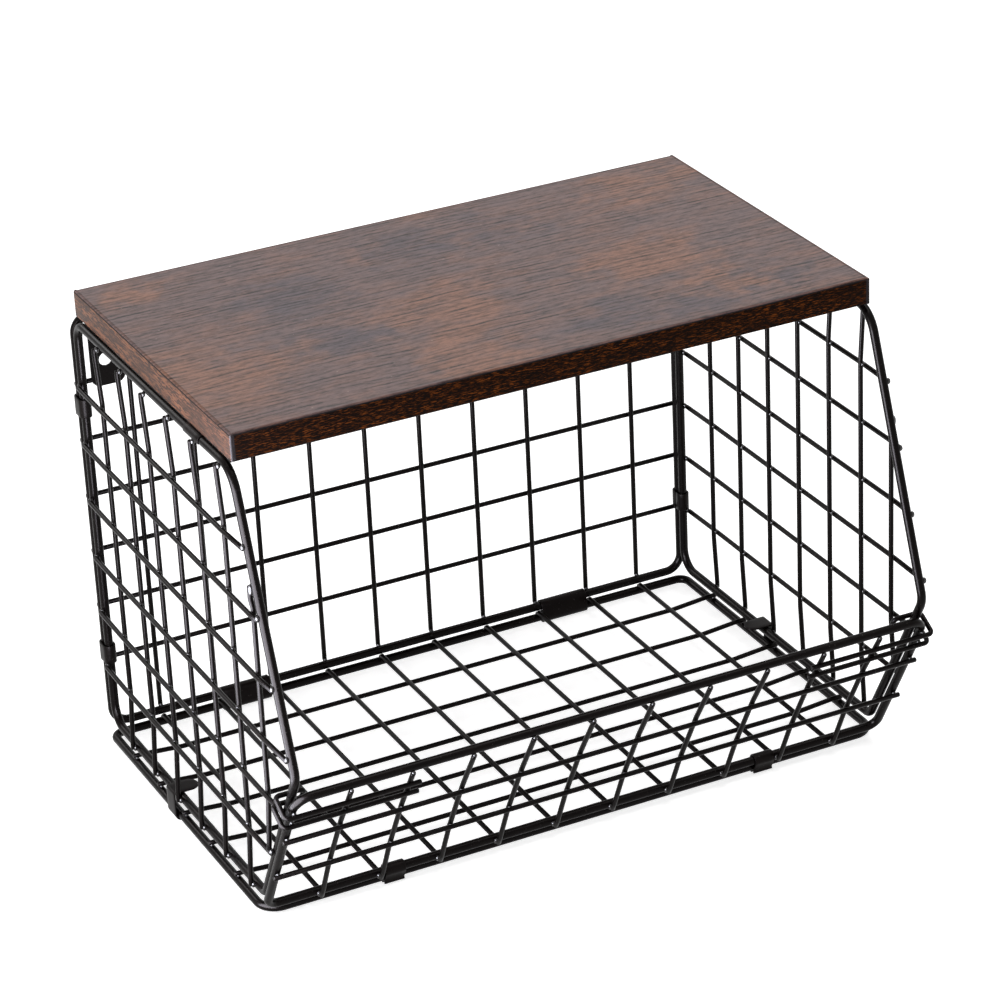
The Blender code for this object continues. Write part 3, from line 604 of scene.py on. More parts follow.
def row(margin):
    """Evenly spaced places across the width, the outermost a margin inside the side rails."""
    return np.linspace(-(SIDE_X - margin), SIDE_X - margin, ACROSS)


# %% Side grids
SIDE_TOP_BAY = 38.0 * MM
SIDE_REAR_BAY = 34.9 * MM
SIDE_FRONT_BAY = 13.0 * MM
SHORT_BAY = 31.7 * MM
SIDE_LEVELS = np.linspace(FIRST_LEVEL, SIDE_TOP_Z - SIDE_TOP_BAY, LEVELS)
SIDE_UPRIGHTS = np.linspace(SIDE_REAR_Y - SIDE_REAR_BAY, SIDE_TOP_FRONT_Y + SIDE_FRONT_BAY, 6)
SHORT_UPRIGHT_Y = SIDE_UPRIGHTS[-1] - SHORT_BAY


def side_grid(hand, side):
    """Level wires outside, six full uprights and one short one between the two slants.

    Every wire eases towards the rails over its last bay, so that its end lies on its rail.
    """
    outer = side * SIDE_OUTER_X
    inner = outer - side * CROSSING
    seated = outer - side * (SEAT_GAP + SINK)
    pressed = seated - side * PRESS
    middle = outer - side * CROSSING / 2
    face = side * (SIDE_X + RAIL)
    paths, guides, crossings, ends = [], [], [], []
    for z in SIDE_LEVELS:
        rear, front = SIDE_REAR_Y - SHORT_REAR, slant_y(z) - (SHORT_FRONT if z > BEND_Z else SHORT_FOOT)
        last = SIDE_UPRIGHTS[-1] if z < SIDE_LEVELS[1] or z > SIDE_LEVELS[-2] else SHORT_UPRIGHT_Y
        close = pressed if z > BEND_Z else seated
        paths.append(bent([(seated, rear, z), (seated, rear - KINK, z), (outer, SIDE_UPRIGHTS[0] + WIRE, z),
                           (outer, last - WIRE, z), (close, front, z)]))
        guides.append(Z)
        ends += [(face, SIDE_REAR_Y - WIRE, z + WIRE / 2), (close, front + WIRE / 2, z + WIRE / 2)]
    top, low = SIDE_TOP_Z - SHORT_TOP, SIDE_BOTTOM_Z - PAST
    for y in SIDE_UPRIGHTS:
        paths.append(bent([(seated, y, top), (seated, y, top - KINK), (inner, y, SIDE_LEVELS[-1] + EASE),
                           (inner, y, SIDE_LEVELS[0] - EASE), (seated, y, low + KINK), (seated, y, low)]))
        guides.append(Y)
        crossings += [(middle, y - WIRE / 2, z + WIRE / 2) for z in SIDE_LEVELS]
        ends += [(face, y - WIRE * 0.7, z) for z in (top - PAST, SIDE_BOTTOM_Z)]
    y = SHORT_UPRIGHT_Y
    top = SIDE_TOP_Z - (SIDE_TOP_FRONT_Y - y) / HEAD_SLOPE
    lap_top = top - LAP / math.sin(SIDE_LEAN)
    lap_low = FRONT_BOTTOM_Z + (SLANT_FOOT_Y - y) / FOOT_SLOPE + LAP / math.sin(FRONT_LEAN)
    pad = (face, y - PAST, top - 2 * KINK / 3 - PAD_BEAD[1])
    foot = (outer, y, SIDE_LEVELS[0] + WIRE)
    paths.append(bent([(pressed, y, top - KINK), (pressed, y, lap_top), (inner, y, SIDE_LEVELS[-2] + EASE),
                       (inner, y, SIDE_LEVELS[1] - EASE), (seated, y, lap_low), foot]))
    guides.append(Y)
    crossings += [(middle, y, z) for z in SIDE_LEVELS[1:-1]]
    ends += [(face, y, SIDE_LEVELS[0])]
    return grid(hand + "_side_wires", paths, guides, crossings, ends, (Y, Z, X), hand + "_side",
                hand + "_side_grid", [pad])


for hand, side in HANDS:
    side_grid(hand, side)

# %% Back grid
BACK_TOP_BAY = 41.45 * MM
BACK_MARGIN = 30.0 * MM
BACK_LEVELS = np.linspace(FIRST_LEVEL, BACK_TOP_Z - BACK_TOP_BAY, LEVELS)
UPRIGHTS = row(BACK_MARGIN)


def back_grid():
    """Level wires behind the rails, uprights in front of them and butted to the rails."""
    level_y = BACK_Y + LAP
    y = level_y - CROSSING
    reach = SIDE_X + PAST_BACK
    low, high = BACK_BOTTOM_Z + RAIL, BACK_TOP_Z - RAIL
    paths = [np.array([(-reach, level_y, z), (reach, level_y, z)]) for z in BACK_LEVELS]
    paths += [np.array([(x, y, low), (x, y, high)]) for x in UPRIGHTS]
    crossings = [(x, level_y - CROSSING / 2, z) for x in UPRIGHTS for z in BACK_LEVELS]
    ends = [(x, BACK_Y + WIRE, z) for x in UPRIGHTS for z in (low, high)]
    ends += [(side * SIDE_X, BACK_Y + RAIL, z) for side in (-1, 1) for z in BACK_LEVELS]
    guides = [Z] * len(BACK_LEVELS) + [X] * len(UPRIGHTS)
    return grid("back_wires", paths, guides, crossings, ends, (X, Z, Y), "basket", "back_grid")


back_grid()

# %% Bottom grid
def bottom_grid():
    """Front-to-back wires on the rails, cross wires under them with their ends stepped up."""
    z = RAIL + LAP
    under = z - CROSSING
    rear, front = BOTTOM_REAR_Y - SHORT_BOTTOM, BOTTOM_FRONT_Y + SHORT_BOTTOM
    reach = BOTTOM_X + PAST_BOTTOM
    step = BOTTOM_X - RAIL - WIRE
    depths = np.linspace(BOTTOM_REAR_Y, BOTTOM_FRONT_Y, 7)[1:-1]
    paths = [np.array([(x, rear, z), (x, front, z)]) for x in UPRIGHTS]
    flat = UPRIGHTS[-1] + EASE
    paths += [bent([(-reach, y, z), (-step, y, z), (-flat, y, under), (flat, y, under),
                    (step, y, z), (reach, y, z)]) for y in depths]
    crossings = [(x, y, z - CROSSING / 2) for x in UPRIGHTS for y in depths]
    ends = [(x, y, z - WIRE) for x in UPRIGHTS for y in (BOTTOM_REAR_Y, BOTTOM_FRONT_Y)]
    ends += [(side * BOTTOM_X, y, z - WIRE) for side in (-1, 1) for y in depths]
    guides = [X] * len(UPRIGHTS) + [Y] * len(depths)
    return grid("bottom_wires", paths, guides, crossings, ends, (X, Y, Z), "basket", "bottom_grid")


bottom_grid()

# %% Front grid and hooks
FRONT_MARGIN = 28.9 * MM
FRONT_UPRIGHTS = row(FRONT_MARGIN)
FRONT_LEVELS = np.array([FRONT_HEIGHT / 3, FRONT_HEIGHT * 2 / 3])
FRONT_AXES = (X, FRONT_UP, FRONT_OUT)
HOOK_BELOW_TOP = 9.4 * MM
HOOK_GAP = 8.6 * MM
HOOK_PAST_WIRE = 5.9 * MM
HOOK_CLEAR = 0.58 * MM
HOOK_BEHIND = 0.8 * MM
HOOK_TIP = 9.5 * MM
HOOK_BEND = 2.6 * MM


def front_grid():
    """Two level wires on the front's face, uprights behind them."""
    reach = BOTTOM_X + PAST_FRONT
    inner = LAP - CROSSING
    top = FRONT_HEIGHT - PAST
    seated = LAP - SEAT_GAP - SINK
    paths = [np.array([front_point(-reach, up, LAP), front_point(reach, up, LAP)]) for up in FRONT_LEVELS]
    heights = (top, FRONT_HEIGHT - RAIL, FRONT_LEVELS[1] + EASE, FRONT_LEVELS[0] - EASE, KINK_RISE, -PAST)
    depths = (seated, seated, inner, inner, seated, seated)
    paths += [bent([front_point(x, up, out) for up, out in zip(heights, depths)]) for x in FRONT_UPRIGHTS]
    crossings = [front_point(x, up, LAP - CROSSING / 2) for x in FRONT_UPRIGHTS for up in FRONT_LEVELS]
    ends = [front_point(x + WIRE / 2, top - PAST, RAIL + WIRE / 2) for x in FRONT_UPRIGHTS]
    ends += [front_point(x - WIRE, PAST, RAIL) for x in FRONT_UPRIGHTS]
    ends += [front_point(side * BOTTOM_X, up, RAIL) for side in (-1, 1) for up in FRONT_LEVELS]
    guides = [FRONT_UP] * len(FRONT_LEVELS) + [X] * len(FRONT_UPRIGHTS)
    return grid("front_wires", paths, guides, crossings, ends, FRONT_AXES, "basket", "front_grid")


def hook(hand, side):
    """A hairpin on the front panel: two prongs that reach round the side's rail and join behind it."""
    out = LAP - CROSSING + 2 * WIRE + SEAT_GAP
    behind = -(SIDE_TO_FRONT + RAIL + HOOK_BEHIND + WIRE)
    end_x = side * (FRONT_UPRIGHTS[-2] - HOOK_PAST_WIRE)
    leg_x = side * (SIDE_OUTER_X + 2 * WIRE + HOOK_CLEAR)
    tip_x = side * (SIDE_X - HOOK_TIP)
    upper = FRONT_HEIGHT - HOOK_BELOW_TOP
    lower = upper - HOOK_GAP
    prong = [(end_x, out), (leg_x, out), (leg_x, behind), (tip_x, behind)]
    corners = [front_point(x, upper, depth) for x, depth in prong]
    corners += [front_point(x, lower, depth) for x, depth in prong[::-1]]
    path = route(corners, [HOOK_BEND] * len(corners), steps=7)
    guide = unit(X + FRONT_UP + FRONT_OUT)
    welds = [front_point(side * x, up, out - WIRE) for x in FRONT_UPRIGHTS[-2:] for up in (upper, lower)]
    welds += [front_point(side * BOTTOM_X, up, RAIL + SEAT_GAP) for up in (upper, lower)]
    patches = [tube(path, COATED_WIRE, guide)] + beads(welds, FRONT_AXES, END_BEAD)
    print(hand, "hook reaches", round((abs(leg_x) + COATED_WIRE) / MM, 2), "mm from the middle")
    piece = build_mesh(hand + "_hairpin_hook", patches)
    return dress(piece, "basket", hand + "_hook", WIRE_COAT)


front_grid()
for hand, side in HANDS:
    hook(hand, side)

# %% [markdown]
# ## Sheet clips
#
# The panels are joined by strips of steel sheet, bent cold round two rails at a time. A strip is
# its middle line, a few straight stretches and arcs, carried across its width. Solidify gives it the
# sheet's thickness and Bevel breaks its cut edges, because a sharp edge would catch no light. Each
# strip prints its flat size.

# %% Strips
CLIP_ARC = math.radians(9)
CLIP_COLUMNS = 5
CLIP_EDGE = 0.18 * MM
CLIP_EDGE_ANGLE = math.radians(50)


def bend(centre, across, ahead, start, end):
    """Points at the clip's radius about a rail, from one angle to another: across cos t + ahead sin t."""
    count = max(3, math.ceil(abs(end - start) / CLIP_ARC) + 1)
    angle = np.linspace(start, end, count)[:, None]
    return centre + (np.cos(angle) * across + np.sin(angle) * ahead) * CLIP_RADIUS


def strip(name, line, halves, along, body, cad_node, sheet=SHEET):
    """The middle line carried across the width: point = line + along * half width * s, s from -1 to 1."""
    length = np.linalg.norm(np.diff(line, axis=0), axis=1).sum()
    print(name, "flat size, mm:", round(length / MM, 1), "by", round(2 * np.max(halves) / MM, 1))
    spread = np.linspace(-1, 1, CLIP_COLUMNS)[None, :, None]
    halves = np.broadcast_to(halves, len(line))
    points = line[:, None] + spread * halves[:, None, None] * along
    piece = build_mesh(name, [patch(points, wrap_columns=False)])
    shell = piece.modifiers.new("sheet", "SOLIDIFY")
    shell.thickness = sheet
    shell.offset = 0
    shell.use_even_offset = True
    edge = piece.modifiers.new("edge", "BEVEL")
    edge.width = CLIP_EDGE
    edge.segments = 2
    edge.limit_method = "ANGLE"
    edge.angle_limit = CLIP_EDGE_ANGLE
    return dress(piece, body, cad_node, CLIP_COAT)


def belt(a, b, across):
    """A strip round two rails, b first and then a, with its slit on the side that across points to."""
    ahead = unit(b - a)
    middle = (a + b) / 2 + across * CLIP_RADIUS
    return np.concatenate([[middle + ahead * SHEET / 2], bend(b, across, ahead, 0, math.pi),
                           bend(a, across, ahead, math.pi, 2 * math.pi), [middle - ahead * SHEET / 2]])


# %% Hinge clips and corner clips
STRAP_HALF = 5.5 * MM
NARROW_HALF = 6.0 * MM
LIP = 1.2 * MM
UNDER_REACH = math.radians(130)
WIDE_TO_WIRE = 1.25 * MM
NARROW_TO_WIRE = 0.65 * MM
LOW_TO_WIRE = 0.75 * MM
HIGH_TO_WIRE = 4.1 * MM
LOW_STRAP = SIDE_LEVELS[0] + WIRE + LOW_TO_WIRE
HIGH_STRAP = BACK_LEVELS[-1] - WIRE - HIGH_TO_WIRE - 2 * STRAP_HALF


def aside(a, b):
    """The direction from one rail to the other in the YZ plane, and the one square to it."""
    ahead = unit(b - a)
    return ahead, np.array([0, ahead[2], -ahead[1]])


def rear_hinge_clip(hand, side):
    """A wide strip round the back's bottom rail and the bottom's rear rail, three bays from the middle."""
    pitch = UPRIGHTS[1] - UPRIGHTS[0]
    a = np.array([side * 3 * pitch, BOTTOM_REAR_Y, RAIL])
    b = np.array([side * 3 * pitch, BACK_Y, BACK_BOTTOM_Z])
    half = (pitch - 2 * WIRE - 2 * WIDE_TO_WIRE) / 2
    line = belt(a, b, aside(a, b)[1])
    strip(hand + "_wide_hinge_clip", line, half, X, "basket", hand + "_rear_hinge_clip")


def front_hinge_clip(hand, side):
    """A narrow strip over the front's bottom rail and under the bottom's, with its front lip flared."""
    x = side * (UPRIGHTS[-2] - WIRE - NARROW_TO_WIRE - NARROW_HALF)
    a = np.array([x, BOTTOM_FRONT_Y, RAIL])
    b = np.array([x, FRONT_BOTTOM_Y, FRONT_BOTTOM_Z])
    ahead, across = aside(a, b)
    foot = a - across * CLIP_RADIUS
    line = np.concatenate([[foot - (across + ahead) * LIP, foot], bend(b, across, ahead, math.pi, 0),
                           bend(a, across, ahead, 0, -UNDER_REACH)])
    strip(hand + "_narrow_hinge_clip", line, NARROW_HALF, X, "basket", hand + "_front_hinge_clip")


def corner_clip(hand, side, low, level):
    """A strip round the side's rear rail and the back's upright rail: the side's hinge."""
    a = np.array([side * SIDE_X, SIDE_REAR_Y, low + STRAP_HALF])
    b = np.array([side * SIDE_X, BACK_Y, low + STRAP_HALF])
    strip(f"{hand}_{level}_hinge_strap", belt(a, b, X * -side), STRAP_HALF, Z, "basket",
          f"{hand}_{level}_corner_clip")


for hand, side in HANDS:
    rear_hinge_clip(hand, side)
    front_hinge_clip(hand, side)
    corner_clip(hand, side, LOW_STRAP, "lower")
    corner_clip(hand, side, HIGH_STRAP, "upper")

# %% Tabs and saddles
TAB_HALF = 5.9 * MM
TAB_FOLD = 1.2 * MM
TONGUE_REACH = 11.5 * MM
TONGUE_TIP = 0.93
SADDLE_SHEET = 0.55 * MM
SADDLE_GRIP = math.radians(35)
SADDLE_HALF = 10.0 * MM
SADDLE_SETBACK = 48.0 * MM


def side_tab(hand, side):
    """A strap up the outside of both rails whose top folds inwards into a tongue with a round tip.

    The tip is a half circle: at angle t the tongue has run on by half sin t and is half cos t wide.
    """
    half = TAB_HALF
    y = SIDE_UPRIGHTS[2] + WIRE + LOW_TO_WIRE + half
    out = X * side
    low = np.array([side * BOTTOM_X, y, RAIL])
    wall, shelf = BOTTOM_X + CLIP_RADIUS, SIDE_BOTTOM_Z + CLIP_RADIUS
    angle = np.linspace(0, math.pi / 2, 7)[:, None]
    fold = np.array([side * (wall - TAB_FOLD), y, shelf - TAB_FOLD])
    fold = fold + (np.cos(angle) * out + np.sin(angle) * Z) * TAB_FOLD
    tip = np.linspace(0, math.pi / 2 * TONGUE_TIP, 9)
    root = SIDE_X - TONGUE_REACH + half
    tongue = np.stack([side * (root - half * np.sin(tip)), np.full(9, y), np.full(9, shelf)], -1)
    under = bend(low, out, Z, -math.pi / 2, 0)
    line = np.concatenate([under, fold, tongue])
    halves = np.concatenate([np.full(len(under) + len(fold), half), half * np.cos(tip)])
    strip(hand + "_side_strap", line, halves, Y, "basket", hand + "_side_tab")


def saddle(hand, side):
    """A thin saddle bent over the side's top rail and gripping it from below, where the board rests."""
    centre = np.array([side * SIDE_X, SIDE_TOP_FRONT_Y + SADDLE_SETBACK, SIDE_TOP_Z + RAIL_LIFT])
    line = bend(centre, X, Z, -SADDLE_GRIP, math.pi + SADDLE_GRIP)
    line = centre + (line - centre) * (RAIL + SADDLE_SHEET / 2) / CLIP_RADIUS
    strip(hand + "_board_saddle", line, SADDLE_HALF, Y, hand + "_side", hand + "_board_clip", SADDLE_SHEET)


for hand, side in HANDS:
    side_tab(hand, side)
    saddle(hand, side)

# %% [markdown]
# ## Board
#
# The board is pressed chipboard with a printed wood film: greyish brown, with soft warm clouds and
# grey ones, ribs pressed into the film and finer dark lines between them. Bands of a darker print
# are glued to its edges and trimmed round, and the dark core shows along the trim and at the cut
# ends. All four bands carry one print, but it is painted in two copies: a darker one on the front
# and rear bands as painted shade, and a lighter one on the side bands as painted light. The core is
# a slab whose edges Bevel breaks. A band is its own rounded section carried along the edge, because
# the highlight on it depends on that rounding. Each cloud has its own centre and reach, sine waves
# make the ribs and lines, and noise makes the rest. The pattern reads object coordinates, so it
# keeps its size and runs on from the core over the bands' upper faces.

# %% Board finish
FILM_DARK = (0.086, 0.062, 0.072, 1)
FILM_MID = (0.150, 0.092, 0.086, 1)
FILM_WARM = (0.243, 0.115, 0.076, 1)
FILM_LINE = (0.010, 0.008, 0.008, 1)
FILM_FLECK = (0.420, 0.330, 0.300, 1)
# One band print in two copies: the front and rear bands' colours are painted darker as shade, the side
# bands' lighter as lit.
FRONT_SHADED_DARK = (0.0060, 0.0022, 0.0012, 1)
FRONT_SHADED_WARM = (0.240, 0.062, 0.010, 1)
SIDE_LIT_DARK = (0.034, 0.018, 0.014, 1)
SIDE_LIT_WARM = (0.225, 0.092, 0.048, 1)
BAND_CORE = (0.020, 0.018, 0.020, 1)
SIDE_RIM = (0.012, 0.007, 0.006, 1)
CORNER_CORE = (0.034, 0.027, 0.030, 1)
BOARD_TOP = BOARD_UNDERSIDE_Z + BOARD_THICKNESS + ORIGIN[2]
BOARD_LOW = BOARD_UNDERSIDE_Z + ORIGIN[2]
BOARD_FRONT = BOARD_FRONT_Y + ORIGIN[1]
RIB_PITCH = 5.5 * MM
LINE_PITCH = 3.7 * MM
RIB_DEPTH = 0.38
LINE_DEPTH = 0.50
FINE_DEPTH = 0.44
GRIT_DEPTH = 0.18
TEAR = (0.085, 0.045, 0.0)
TEAR_SCALE = 60.0
MOTTLE_SCALE = 55.0
FINE_SCALE = 560.0
GRIT_SCALE = 950.0
FLECK_SCALE = 620.0
FILM_SHINE = 0.42
FILM_ROUGHNESS = 0.44
BAND_ROUGHNESS = 0.42
RELIEF_STRENGTH = 0.30
FILM_RELIEF = 0.06 * MM
BAND_RELIEF = 0.05 * MM
TRIM_UPPER = 1.05 * MM
TRIM_LOWER = 0.45 * MM
TRIM_END = 0.7 * MM
TRIM_SOFT = 0.2 * MM
TRIM_WAVE = 0.9 * MM
WARM_CLOUDS = ((-165, -15, 55), (-25, 0, 42), (-40, -62, 36), (100, 5, 42), (118, -45, 26), (150, 102, 40),
               (-160, 110, 20))
GREY_CLOUDS = ((-95, 60, 42), (-90, -5, 30), (-10, 85, 30), (45, 92, 34), (48, -55, 28), (95, -75, 30),
               (150, -60, 22))


def clouds_at(tree, where, places):
    """Soft round clouds, each given by its centre and its reach in millimetres; 1 inside, 0 beyond."""
    total = 0.0
    for x, y, reach in places:
        centre = (x * MM, y * MM, BOARD_TOP)
        gap = vector_math(tree, "DISTANCE", where, centre, output=1)
        total = (1 - gap.smooth(reach * 0.35 * MM, reach * 1.15 * MM)) + total
    return total.clamped()


def rib_wave(depth, pitch, sway):
    """A rib: (1 + sin(2 pi (depth / pitch + sway))) / 2."""
    phase = (depth / pitch + sway) * (2 * math.pi)
    return phase.math("SINE", phase) * 0.5 + 0.5


def wood_colour(tree, where):
    """The film's colour, its grain and its mottle.

    Noise moves each point by up to half of TEAR, which frays the clouds' rims. The ribs run with the
    grain: noise adds a slow sway to their phase and breaks them into lengths. Grain is the sum of
    ribs, lines, fine fibres and grit, each by its own depth.
    """
    sockets = {"Vector": where, "Scale": TEAR_SCALE, "Detail": 4.0}
    ragged = node(tree, "ShaderNodeTexNoise", None, sockets, output=1)
    torn = vector_math(tree, "MULTIPLY_ADD", ragged, TEAR, where)
    torn = vector_math(tree, "SUBTRACT", torn, tuple(part / 2 for part in TEAR))
    mottle = noise(tree, where, MOTTLE_SCALE, 5.0, 0.65, (0.6, 1.3, 1.0))
    warm = (clouds_at(tree, torn, WARM_CLOUDS) * 0.80 + (mottle - 0.47) * 2.4).clamped()
    grey = (clouds_at(tree, torn, GREY_CLOUDS) * 0.85 + (0.46 - mottle) * 2.2).clamped()
    depth = coordinate(tree, where, 1)
    sway = noise(tree, where, 18.0, 2.0, 0.5, (0.6, 1.0, 1.0)) * 1.6
    sway = sway + noise(tree, where, 110.0, 1.0, 0.5, (0.35, 1.0, 1.0)) * 0.30
    broken = noise(tree, where, 170.0, 2.0, 0.6, (0.20, 1.0, 1.0)).smooth(0.34, 0.56)
    faint = noise(tree, where, 210.0, 2.0, 0.6, (0.20, 1.0, 1.0)).smooth(0.38, 0.60)
    ribs = rib_wave(depth, RIB_PITCH, sway)
    lines = rib_wave(depth, LINE_PITCH, sway * 1.4)
    fine = noise(tree, where, FINE_SCALE, 3.0, 0.70, (0.26, 1.0, 1.0))
    grit = noise(tree, where, GRIT_SCALE, 2.0, 0.6, (0.55, 1.0, 1.0)).smooth(0.40, 0.70)
    grain = ribs * ribs * broken * RIB_DEPTH + lines * lines * faint * LINE_DEPTH
    grain = grain + fine.smooth(0.42, 0.64) * FINE_DEPTH + grit * GRIT_DEPTH
    pores = fine.smooth(0.62, 0.72) * noise(tree, where, 260.0, 1.0).smooth(0.46, 0.60)
    flecks = noise(tree, where, FLECK_SCALE, 1.0, 0.5, (0.6, 1.0, 1.0)).smooth(0.765, 0.80)
    colour = mix(tree, warm, FILM_MID, FILM_WARM)
    colour = mix(tree, grey * (1 - warm * 0.6), colour, FILM_DARK)
    colour = mix(tree, (grain * 0.85).clamped(), colour, FILM_LINE)
    colour = mix(tree, flecks * 0.45, colour, FILM_FLECK)
    return mix(tree, pores * 0.5, colour, FILM_LINE), grain, mottle


def wood_film():
    """Top film: the printed wood under a satin varnish, pressed a little along its lines."""
    made, tree, shader, where = new_material("wood_film")
    colour, grain, mottle = wood_colour(tree, where)
    rough = FILM_ROUGHNESS + grain * 0.10 + (mottle - 0.5) * 0.12
    finish_surface(tree, shader, FILM_SHINE, colour, rough, 1 - grain, FILM_RELIEF, RELIEF_STRENGTH)
    return made


def edge_film(name, dark, warm, rim, along, spread, shine, scale):
    """Band film: dark wood with short orange dashes, and the dark core on its trimmed edges and cut ends.

    spread says how much noise it takes to turn from dark to warm. The trim's border is wavy, as a
    trimming cutter leaves it.
    """
    made, tree, shader, where = new_material(name)
    stretch = (0.14, 1.0, 1.0) if along == "x" else (1.0, 0.15, 1.0)
    streak = noise(tree, where, scale, 3.0, 0.6, stretch)
    dash = noise(tree, where, 2300.0, 1.0, 0.5, stretch)
    patches = noise(tree, where, 210.0, 3.0, 0.6, stretch).smooth(0.40, 0.60)
    glow = streak.smooth(*spread) * (0.30 + patches * 0.70) + dash.smooth(0.60, 0.72) * 0.30
    colour = mix(tree, glow.clamped(), dark, warm)
    across, depth, height = (coordinate(tree, where, axis) for axis in range(3))
    wave = (noise(tree, where, 700.0, 1.0) - 0.5) * TRIM_WAVE
    level = BOARD_TOP - TRIM_UPPER
    trim = (height + wave * 0.5).smooth(level, level + TRIM_SOFT)
    level = BOARD_LOW + TRIM_LOWER
    trim = trim.bigger(1 - height.smooth(level - TRIM_SOFT, level))
    colour = mix(tree, trim, colour, rim)
    if along == "y":
        end = BOARD_FRONT + TRIM_END
        cut = 1 - (depth + wave).smooth(end - TRIM_SOFT, end)
    else:
        end = SIDE_X - BAND - TRIM_END
        cut = (across.math("ABSOLUTE", across) + wave).smooth(end, end + TRIM_SOFT)
    colour = mix(tree, cut, colour, CORNER_CORE)
    upper = height.smooth(BOARD_TOP - 0.45 * MM, BOARD_TOP - 0.30 * MM)
    colour = mix(tree, upper, colour, wood_colour(tree, where)[0])
    rough = BAND_ROUGHNESS + streak * 0.10
    finish_surface(tree, shader, shine, colour, rough, streak, BAND_RELIEF, RELIEF_STRENGTH)
    return made


TOP_FILM = wood_film()
# painted shade on the front and rear bands and painted light on the side bands: two copies of one band print
SHADED_FRONT_FILM = edge_film("front_band_film_painted_shade", FRONT_SHADED_DARK, FRONT_SHADED_WARM, BAND_CORE, "x",
                       spread=(0.50, 0.66), shine=0.03, scale=1600.0)
LIT_SIDE_FILM = edge_film("side_band_film_painted_light", SIDE_LIT_DARK, SIDE_LIT_WARM, SIDE_RIM, "y",
                      spread=(0.42, 0.58), shine=0.09, scale=1250.0)
print("films:", TOP_FILM.name, SHADED_FRONT_FILM.name, LIT_SIDE_FILM.name)

# %% Core and bands
CORE_EDGE = 0.10 * MM
BAND_ROUND = 1.2 * MM
BAND_ROUND_LOW = 0.6 * MM


def core(low, high):
    """The core between two corners: a section at either end, its edges broken by Bevel."""
    low, high = np.asarray(low), np.asarray(high)
    share = np.array([[(end, 0, 0), (end, 1, 0), (end, 1, 1), (end, 0, 1)] for end in (0.0, 1.0)])
    piece = build_mesh("board_core", [patch(low + share * (high - low))])
    edge = piece.modifiers.new("edge", "BEVEL")
    edge.width = CORE_EDGE
    edge.segments = 4
    edge.limit_method = "ANGLE"
    return dress(piece, "board", "top_board", TOP_FILM)


def edge_band(hand, wall, along, out, half_length, end_round, coat):
    """A band's section carried along its edge: point = wall + along * s + out * u + up * v.

    The section's outer corners are quarter circles: u = band - r + r sin a, v = height - r + r cos a.
    Towards each end u is held to band - e (1 - cos b) while s runs to length - e (1 - sin b), which
    rounds the cut ends in the same way.
    """
    turn = np.linspace(0, math.pi / 2, 6)
    upper_u = BAND - BAND_ROUND + BAND_ROUND * np.sin(turn)
    upper_v = BOARD_THICKNESS - BAND_ROUND + BAND_ROUND * np.cos(turn)
    lower_u = BAND - BAND_ROUND_LOW + BAND_ROUND_LOW * np.cos(turn)
    lower_v = BAND_ROUND_LOW - BAND_ROUND_LOW * np.sin(turn)
    u = np.concatenate([[0.0], upper_u, lower_u, [0.0]])
    v = np.concatenate([[BOARD_THICKNESS], upper_v, lower_v, [0.0]])
    run = half_length - end_round * (1 - np.sin(turn))
    held = BAND - end_round * (1 - np.cos(turn))
    s = np.concatenate([-run[::-1], run])[:, None, None]
    u = np.minimum(u[None, :], np.concatenate([held[::-1], held])[:, None])[:, :, None]
    points = wall + along * s + out * u + Z * v[None, :, None]
    piece = build_mesh(hand + "_band", [patch(points)])
    return dress(piece, "board", hand + "_edge_band", coat)


def board():
    """The core with its film, and four bands round it."""
    half = BOARD_WIDTH / 2
    low, high = BOARD_UNDERSIDE_Z, BOARD_UNDERSIDE_Z + BOARD_THICKNESS
    inset = BAND + BAND_SEAM
    core((-half + inset, BOARD_FRONT_Y + inset, low), (half - inset, BOARD_REAR_Y - inset, high))
    middle = (BOARD_FRONT_Y + BOARD_REAR_Y) / 2
    for hand, end in (("front", -1), ("rear", 1)):
        wall = np.array([0.0, middle + end * (BOARD_DEPTH / 2 - BAND), low])
        edge_band(hand, wall, X, Y * end, half - inset, BAND_SEAM, SHADED_FRONT_FILM)
    for hand, side in HANDS:
        wall = np.array([side * (half - BAND), middle, low])
        edge_band(hand, wall, Y, X * side, BOARD_DEPTH / 2, BAND_ROUND, LIT_SIDE_FILM)
    print("board's core:", round(2 * (half - inset) / MM, 1), "mm wide")


board()

# %% [markdown]
# ## Hanging plates
#
# Two plates of the same sheet fill the back panel's top corners, in front of its top level wire,
# each with a round hole for a screw. They are flat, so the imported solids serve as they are. Only
# their finish is new.

# %% Plates
for hand, _ in HANDS:
    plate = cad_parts[hand + "_hanging_plate"]
    for place in plate.material_slots:
        place.material = CLIP_COAT
    print(plate.name, "wears", CLIP_COAT.name)

# %% [markdown]
# ## Floor, world and lamps
#
# The photograph has a white ground. The world and the floor are white only to the camera and to
# reflections, and the lamps stay soft and plain, so the black coat keeps its own darkness and the
# floor still takes the rack's shadow. Black gloss has hardly a colour of its own: what it mirrors
# makes its highlights. So a lit card stands close to the left side and shows only in reflections.

# %% Studio
SKY = 0.22
FLOOR_LIFT = 0.74
FLOOR_COLOUR = (0.82, 0.82, 0.82, 1)
FLOOR_REACH = 6.0
FLOOR_DROP = 0.2 * MM
BLACK = (0, 0, 0, 1)
WHITE = (1, 1, 1, 1)
RACK_MIDDLE = (0, 0, 0.15)


def white_to_camera(tree):
    """1 for camera, glossy and transmission rays, 0 for the light that reaches matt surfaces."""
    path = tree.nodes.new("ShaderNodeLightPath")
    camera, glossy, through = (Field(tree, path.outputs[key])
                               for key in ("Is Camera Ray", "Is Glossy Ray", "Is Transmission Ray"))
    return camera.bigger(glossy).bigger(through)


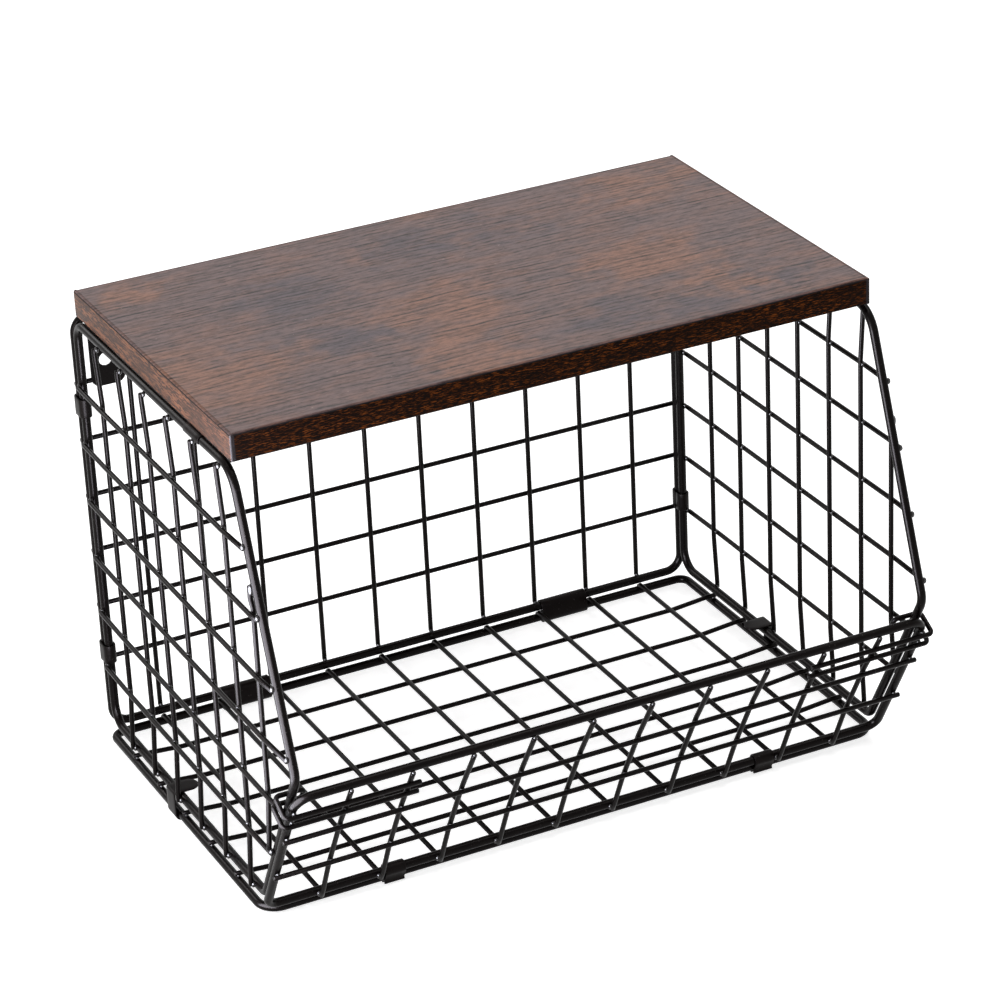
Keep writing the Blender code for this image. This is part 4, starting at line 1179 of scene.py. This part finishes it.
def make_world():
    """A dim even sky for matt surfaces, white where it is seen."""
    world = bpy.data.worlds.new("studio")
    bpy.context.scene.world = world
    world.use_nodes = True
    tree = world.node_tree
    sky = mix(tree, white_to_camera(tree), (SKY, SKY, SKY, 1), WHITE)
    feed(tree, tree.nodes["Background"].inputs["Color"], sky)


def make_floor():
    """A wide pale floor, lifted to white where it is seen, so that only the shadow shows."""
    mesh = bpy.data.meshes.new("floor")
    reach = FLOOR_REACH
    corners = [(-reach, -reach, 0), (reach, -reach, 0), (reach, reach, 0), (-reach, reach, 0)]
    mesh.from_pydata(corners, [], [(0, 1, 2, 3)])
    floor = bpy.data.objects.new("floor", mesh)
    floor.location.z = -FLOOR_DROP
    bpy.context.scene.collection.objects.link(floor)
    made, tree, shader, _ = new_material("floor")
    lifted = mix(tree, white_to_camera(tree), BLACK, WHITE)
    feed_all(tree, shader, {"Base Color": FLOOR_COLOUR, "Roughness": 1.0, "Specular IOR Level": 0.0,
                            "Emission Strength": FLOOR_LIFT, "Emission Color": lifted})
    mesh.materials.append(made)


def lamp(name, place, aim, width, height, watts, matt=True, colour=(1.0, 1.0, 1.0)):
    """A soft rectangular lamp that looks at a point; without matt it shows only in reflections."""
    data = bpy.data.lights.new(name, "AREA")
    data.shape = "RECTANGLE"
    data.size = width
    data.size_y = height
    data.energy = watts
    data.color = colour
    item = bpy.data.objects.new(name, data)
    item.location = place
    item.rotation_euler = (Vector(aim) - Vector(place)).to_track_quat("-Z", "Y").to_euler()
    item.visible_camera = False
    item.visible_diffuse = matt
    bpy.context.scene.collection.objects.link(item)
    print(name, watts, "W")


make_world()
make_floor()
lamp("left_softbox", (-0.95, -0.28, 0.40), RACK_MIDDLE, 0.60, 0.60, 7)
lamp("left_card", (-0.32, -0.19, 0.15), (0.0, -0.19, 0.15), 0.30, 0.30, 12, matt=False,
     colour=(0.86, 0.89, 1.0))
lamp("top_softbox", (0.35, 0.1, 1.8), RACK_MIDDLE, 1.2, 1.2, 18)
lamp("rear_softbox", (-0.55, 1.3, 0.95), RACK_MIDDLE, 0.6, 0.6, 5)
bpy.context.scene.view_settings.view_transform = "Standard"
